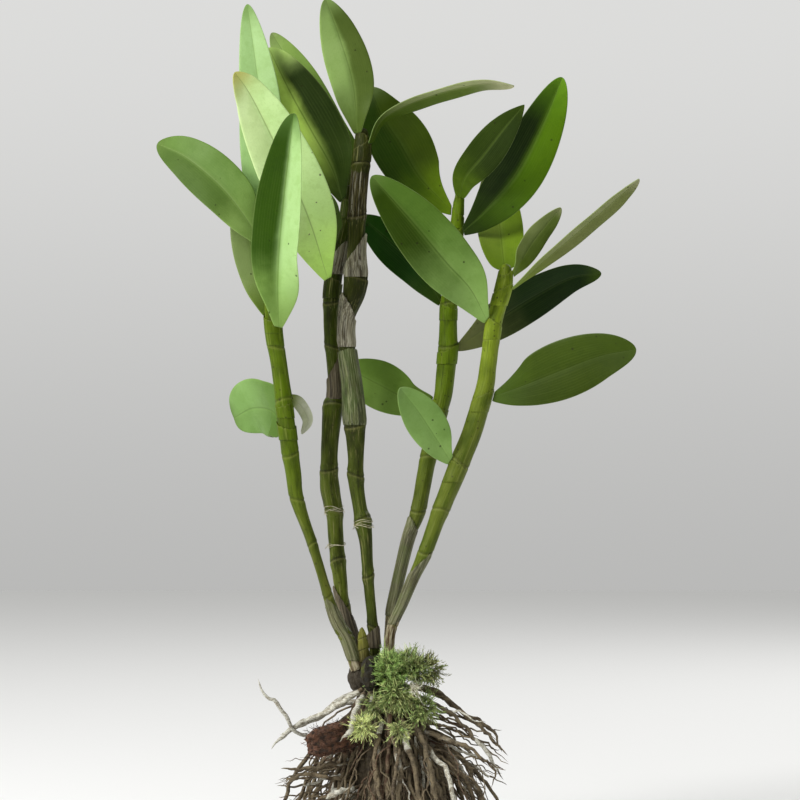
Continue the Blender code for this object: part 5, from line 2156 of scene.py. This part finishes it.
@dataclass(frozen=True)
class BarkChip:
    """The torn chip of bark that lies between the roots, with its loose fibres."""

    centre: tuple = (-28, -18, 46)
    size: tuple = (31, 11, 15)
    tilt: float = 12.0
    fibres: int = 420
    seed: int = 4
    finish: BarkFinish = BarkFinish()

    def turned(self) -> Matrix:
        """Return the rotation from the chip's own axes to the frame's."""
        direction = math.atan2(self.centre[1], self.centre[0])
        return Matrix.Rotation(direction, 3, "Z") @ Matrix.Rotation(math.radians(self.tilt), 3, "Y")

    def build_body(self) -> bpy.types.Object:
        """Model the chip's body from a cube with worn ends and layers that split along it."""
        deselect_all()
        bpy.ops.mesh.primitive_cube_add(size=1, location=(0, 0, 0))
        body = bpy.context.object
        bpy.ops.object.mode_set(mode="EDIT")
        bpy.ops.mesh.select_all(action="SELECT")
        bpy.ops.mesh.subdivide(number_cuts=31)
        bpy.ops.object.mode_set(mode="OBJECT")
        points = []
        for vertex in body.data.vertices:
            share = vertex.co * 2
            roundness = 1 - 0.3 * abs(share.x) ** 4
            edge = 1 - 0.1 * (abs(share.y * share.z) ** 2)
            flat = share * Vector(self.size) / 2
            ends = noise.noise(Vector((flat.y * 0.5, flat.z * 0.45, 3.0 * math.copysign(1, share.x))))
            narrowed = roundness * edge
            spot = Vector((flat.x * (0.9 + 0.14 * ends), flat.y * narrowed, flat.z * narrowed))
            layers = noise.noise(Vector((flat.x * 0.05, flat.y * 0.3, flat.z * 0.75)))
            rough = noise.fractal(flat * 0.5, 0.8, 2.0, 4)
            spot += Vector((0.1, share.y, share.z)) * (1.1 * layers + 0.6 * rough - 0.5)
            points.append(tuple(Vector(self.centre) + self.turned() @ spot))
        place_points(body, np.array(points))
        return body

    def build(self) -> bpy.types.Object:
        """Model the chip and its fibres and dress them.

        Returns:
            The piece.
        """
        body = self.build_body()
        pattern, _, _ = grid("bark_pattern", 1, 3)
        draw = random.Random(self.seed)
        shapes = []
        turned = self.turned()
        for _ in range(self.fibres):
            lengthwise = draw.uniform(-1, 1)
            share = Vector(
                (lengthwise, draw.choice((-1, 1)) * draw.uniform(0.7, 0.96), draw.uniform(-0.9, 0.9))
            )
            if draw.random() < 0.4:
                share = share.xzy
            spot = share * Vector(self.size) * 0.46
            lean = Vector((draw.uniform(-1, 1), share.y * 0.4, share.z * 0.4 + draw.uniform(-0.3, 0.3)))
            lean.normalize()
            bend = Vector((draw.uniform(-1, 1), draw.uniform(-1, 1), draw.uniform(-1, 0.6))) * 1.4
            foot = Vector(self.centre) + turned @ spot
            shapes.append(slip(foot, turned @ lean, bend, draw.uniform(2, 6), draw.uniform(0.08, 0.2)))
        item = replicate("bark_chip_piece", pattern, shapes, {})
        join(item, body)
        dress(item, self.finish.material("bark"), "bark_chip")
        return item


@dataclass(frozen=True)
class OldBulb:
    """The shrunken old bulb at the front of the rhizome."""

    centre: tuple = (-10, -13.5, 78)
    radii: tuple = (4.5, 4.5, 9)
    finish: BarkFinish = BarkFinish(dark=(22, 20, 8), red=(42, 35, 16), pale=(66, 61, 28), painted_light=(72, 76, 20))

    def build(self) -> bpy.types.Object:
        """Model the bulb with shrunken folds and a patch of painted light, and dress it.

        Returns:
            The piece.
        """
        deselect_all()
        bpy.ops.mesh.primitive_uv_sphere_add(segments=72, ring_count=48, radius=1, location=(0, 0, 0))
        item = bpy.context.object
        item.name = "old_bulb_piece"
        points, painted_light = [], []
        for vertex in item.data.vertices:
            angle = math.atan2(vertex.co.y, vertex.co.x)
            folds = 1 + 0.1 * math.sin(angle * 9 + 3 * vertex.co.z) * (1 - vertex.co.z ** 2)
            spot = Vector(radius * part for radius, part in zip(self.radii, vertex.co))
            spot.x *= folds
            spot.y *= folds
            shifts = [Vector((17.0 * axis, 0, 0)) for axis in (1, 2, 3)]
            spot += Vector([noise.noise(spot * 0.4 + shift) for shift in shifts]) * 0.6
            points.append(tuple(Vector(self.centre) + spot))
            # painted light: a patch on the bulb's upper left front, the side towards the key lamp.
            near = (vertex.co - Vector((-0.8, -0.5, 0.15))).length
            painted_light.append(max(0.0, 0.8 - near / 0.6 + 0.5 * noise.noise(spot * 0.5)))
        place_points(item, np.array(points))
        write_values(item, "painted_light", np.array(painted_light))
        dress(item, self.finish.material("old_bulb"), "old_bulb")
        return item


@dataclass(frozen=True)
class Shoot:
    """The short new shoot on the rhizome, in overlapping scales."""

    stations: tuple = (
        (-12.3, -7.5, 84, 5), (-13.2, -9, 91, 5.4), (-13.8, -10.5, 97, 4), (-14, -11, 101, 1.4)
    )
    finish: CaneFinish = CaneFinish(
        top=(118, 118, 44), foot=(76, 70, 34), shade=(58, 56, 22), streak=(170, 166, 104), low=84, high=99,
    )

    def build(self) -> bpy.types.Object:
        """Model the shoot and dress it.

        Returns:
            The piece.
        """
        sides, rows = 36, 90
        item, across, along = grid("new_shoot_piece", sides, rows)
        centres, radii = resample(smooth_path(self.stations, 0.2), rows)
        radius = np.repeat(radii, sides + 1)
        angle = FULL_TURN * across
        scale = (along * 3.2 + 0.22 * np.sin(angle + 1)) % 1.0
        radius = radius * (0.94 + 0.16 * (1 - scale)) * np.sqrt(np.clip((1 - along) * 12, 0, 1))
        radius = radius * (1 + 0.03 * np.sin(9 * angle))
        place_points(item, tube_points(centres, radius, across, sides))
        write_values(item, "joint", bell(scale, 0.08))
        write_values(item, "membrane", bell(1 - scale, 0.12))
        write_values(item, "dry", np.clip(0.5 - along, 0, 1) * 0.8)
        write_values(item, "skin", np.stack([3 * np.cos(angle), 3 * np.sin(angle), along * 18], axis=1))
        close_seam(item)
        dress(item, self.finish.material("new_shoot"), "new_shoot")
        return item


@dataclass(frozen=True)
class FibreRing:
    """A loose twist of pale dry fibres round a cane."""

    name: str
    cane: Cane
    level: float
    turns: int = 4
    radius: float = 0.16

    def build(self) -> bpy.types.Object:
        """Model the twist as thin tubes and dress it.

        Returns:
            The piece.
        """
        sides, rows = 6, 64
        pattern, across, _ = grid(f"{self.name}_pattern", sides, rows)
        draw = random.Random(self.name)
        shapes = []
        for _ in range(self.turns):
            turn = np.linspace(0, draw.uniform(4.5, 7.5), rows + 1) + draw.uniform(0, 6)
            level = self.level + draw.uniform(-1.1, 1.1)
            sway = draw.uniform(0.3, 1.4) * np.sin(turn + draw.uniform(0, 6))
            height = level + sway + 0.35 * np.sin(turn * 3.1)
            centres, radii = self.cane.at(height)
            out = radii * (1 + self.cane.ridges) + self.radius + 0.3 + 0.18 * np.sin(turn * 5.3)
            loose = ease(np.linspace(0, 1, rows + 1), 0.86, 0.14)
            out = out + loose * draw.uniform(0.3, 1.5)
            centres = centres + np.stack([out * np.cos(turn), out * np.sin(turn), -loose * 1.5], axis=1)
            thick = np.full((rows + 1) * (sides + 1), self.radius * draw.uniform(0.6, 1.2))
            shapes.append(tube_points(centres, thick, across, sides))
        item = replicate(self.name, pattern, shapes, {})
        close_seam(item)
        dress(item, ThreadFinish((206, 202, 172), (150, 142, 104)).material(self.name))
        return item


FIBRE_RINGS = (
    FibreRing("fibres_middle_left_high", CANE_MIDDLE_LEFT, 158.5, 5),
    FibreRing("fibres_middle_left_low", CANE_MIDDLE_LEFT, 141.5, 3),
    FibreRing("fibres_middle", CANE_MIDDLE, 152.5, 5),
)


# Stage


@dataclass(frozen=True)
class Studio:
    """The camera, the floor and the lights."""

    centre: tuple = (5.0, 0.0, 214.0)
    view_width: float = 400.0
    distance: float = 2400.0
    floor_size: float = 6000.0
    side_light: float = 0.2
    top_light: float = 0.6
    horizon: float = 0.485
    background: float = 0.72
    sensor: float = 36.0
    floor_drop: float = 0.2
    floor_tone: tuple = (0.9, 0.9, 0.89, 1.0)
    room_tone: tuple = (1.0, 1.0, 0.985, 1.0)
    aim: tuple = (0.0, 0.0, 0.2)
    lamps: tuple = (("key", (-1.5, -1.1, 1.35), 1.0, 46.0), ("back", (1.1, 1.3, 1.2), 1.0, 10.0))

    def camera(self) -> None:
        """Place the camera level with the middle of the plant."""
        spot = (self.centre[0] * MM, -self.distance * MM, self.centre[2] * MM)
        bpy.ops.object.camera_add(location=spot, rotation=(math.radians(90), 0, 0))
        camera = bpy.context.object
        camera.data.sensor_width = self.sensor
        camera.data.lens = self.sensor * self.distance / self.view_width
        camera.data.clip_end = 20.0
        bpy.context.scene.camera = camera

    def floor(self) -> None:
        """Lay the pale floor."""
        bpy.ops.mesh.primitive_plane_add(size=self.floor_size * MM, location=(0, 0, -self.floor_drop * MM))
        ground = bpy.context.object
        ground.name = "floor"
        made, _, shader = principled("floor")
        shader.inputs["Base Color"].default_value = self.floor_tone
        shader.inputs["Roughness"].default_value = 0.95
        shader.inputs["Specular IOR Level"].default_value = 0.1
        ground.data.materials.append(made)

    def lamp(self, name: str, place: tuple, size: float, power: float) -> None:
        """Hang one soft light that faces the plant.

        Args:
            name: Its name.
            place: Its place in metres.
            size: Its side in metres.
            power: Its power in watts.
        """
        bpy.ops.object.light_add(type="AREA", location=place)
        light = bpy.context.object
        light.name = name
        light.data.shape = "SQUARE"
        light.data.size = size
        light.data.energy = power
        towards = Vector(self.aim) - Vector(place)
        light.rotation_euler = towards.to_track_quat("-Z", "Y").to_euler()

    def sky(self) -> None:
        """Fill the room with pale light that is strongest from above, before an even pale background."""
        world = bpy.data.worlds.new("room")
        bpy.context.scene.world = world
        world.use_nodes = True
        graph = Graph(world.node_tree)
        shade = world.node_tree.nodes["Background"]
        shade.inputs["Color"].default_value = self.room_tone
        rise = graph.split(graph.add("ShaderNodeTexCoord").outputs["Generated"])["Z"]
        light = graph.ramp(rise, 0.1, 0.9, self.side_light, self.top_light)
        backdrop = graph.ramp(rise, -0.05, 0.09, self.horizon, self.background)
        seen = graph.add("ShaderNodeLightPath").outputs["Is Camera Ray"]
        strength = graph.add("ShaderNodeMapRange")
        graph.feed(strength.inputs["Value"], seen)
        graph.feed(strength.inputs["To Min"], light)
        graph.feed(strength.inputs["To Max"], backdrop)
        graph.feed(shade.inputs["Strength"], strength.outputs["Result"])

    def build(self) -> None:
        """Set up the whole studio."""
        deselect_all()
        self.camera()
        self.floor()
        for lamp in self.lamps:
            self.lamp(*lamp)
        self.sky()
        bpy.context.scene.view_settings.view_transform = "Standard"


def main() -> None:
    """Build the studio and every piece in order."""
    logging.basicConfig(level=logging.INFO, format="%(message)s")
    Studio().build()
    for cane in CANES:
        log.info("cane %s", cane.build().name)
    for sheath in SHEATHS:
        log.info("sheath %s", sheath.build().name)
    for leaf in LEAVES:
        log.info("leaf %s", leaf.build().name)
        log.info("cuff %s", leaf.build_cuff().name)
    log.info("roots %s", RootMass().build().name)
    log.info("moss %s", Moss().build().name)
    log.info("pale fibres %s", Moss().build_star().name)
    for ring in FIBRE_RINGS:
        log.info("fibres %s", ring.build().name)
    log.info("bark %s", BarkChip().build().name)
    log.info("bulb %s", OldBulb().build().name)
    log.info("shoot %s", Shoot().build().name)


if __name__ == "__main__":
    main()
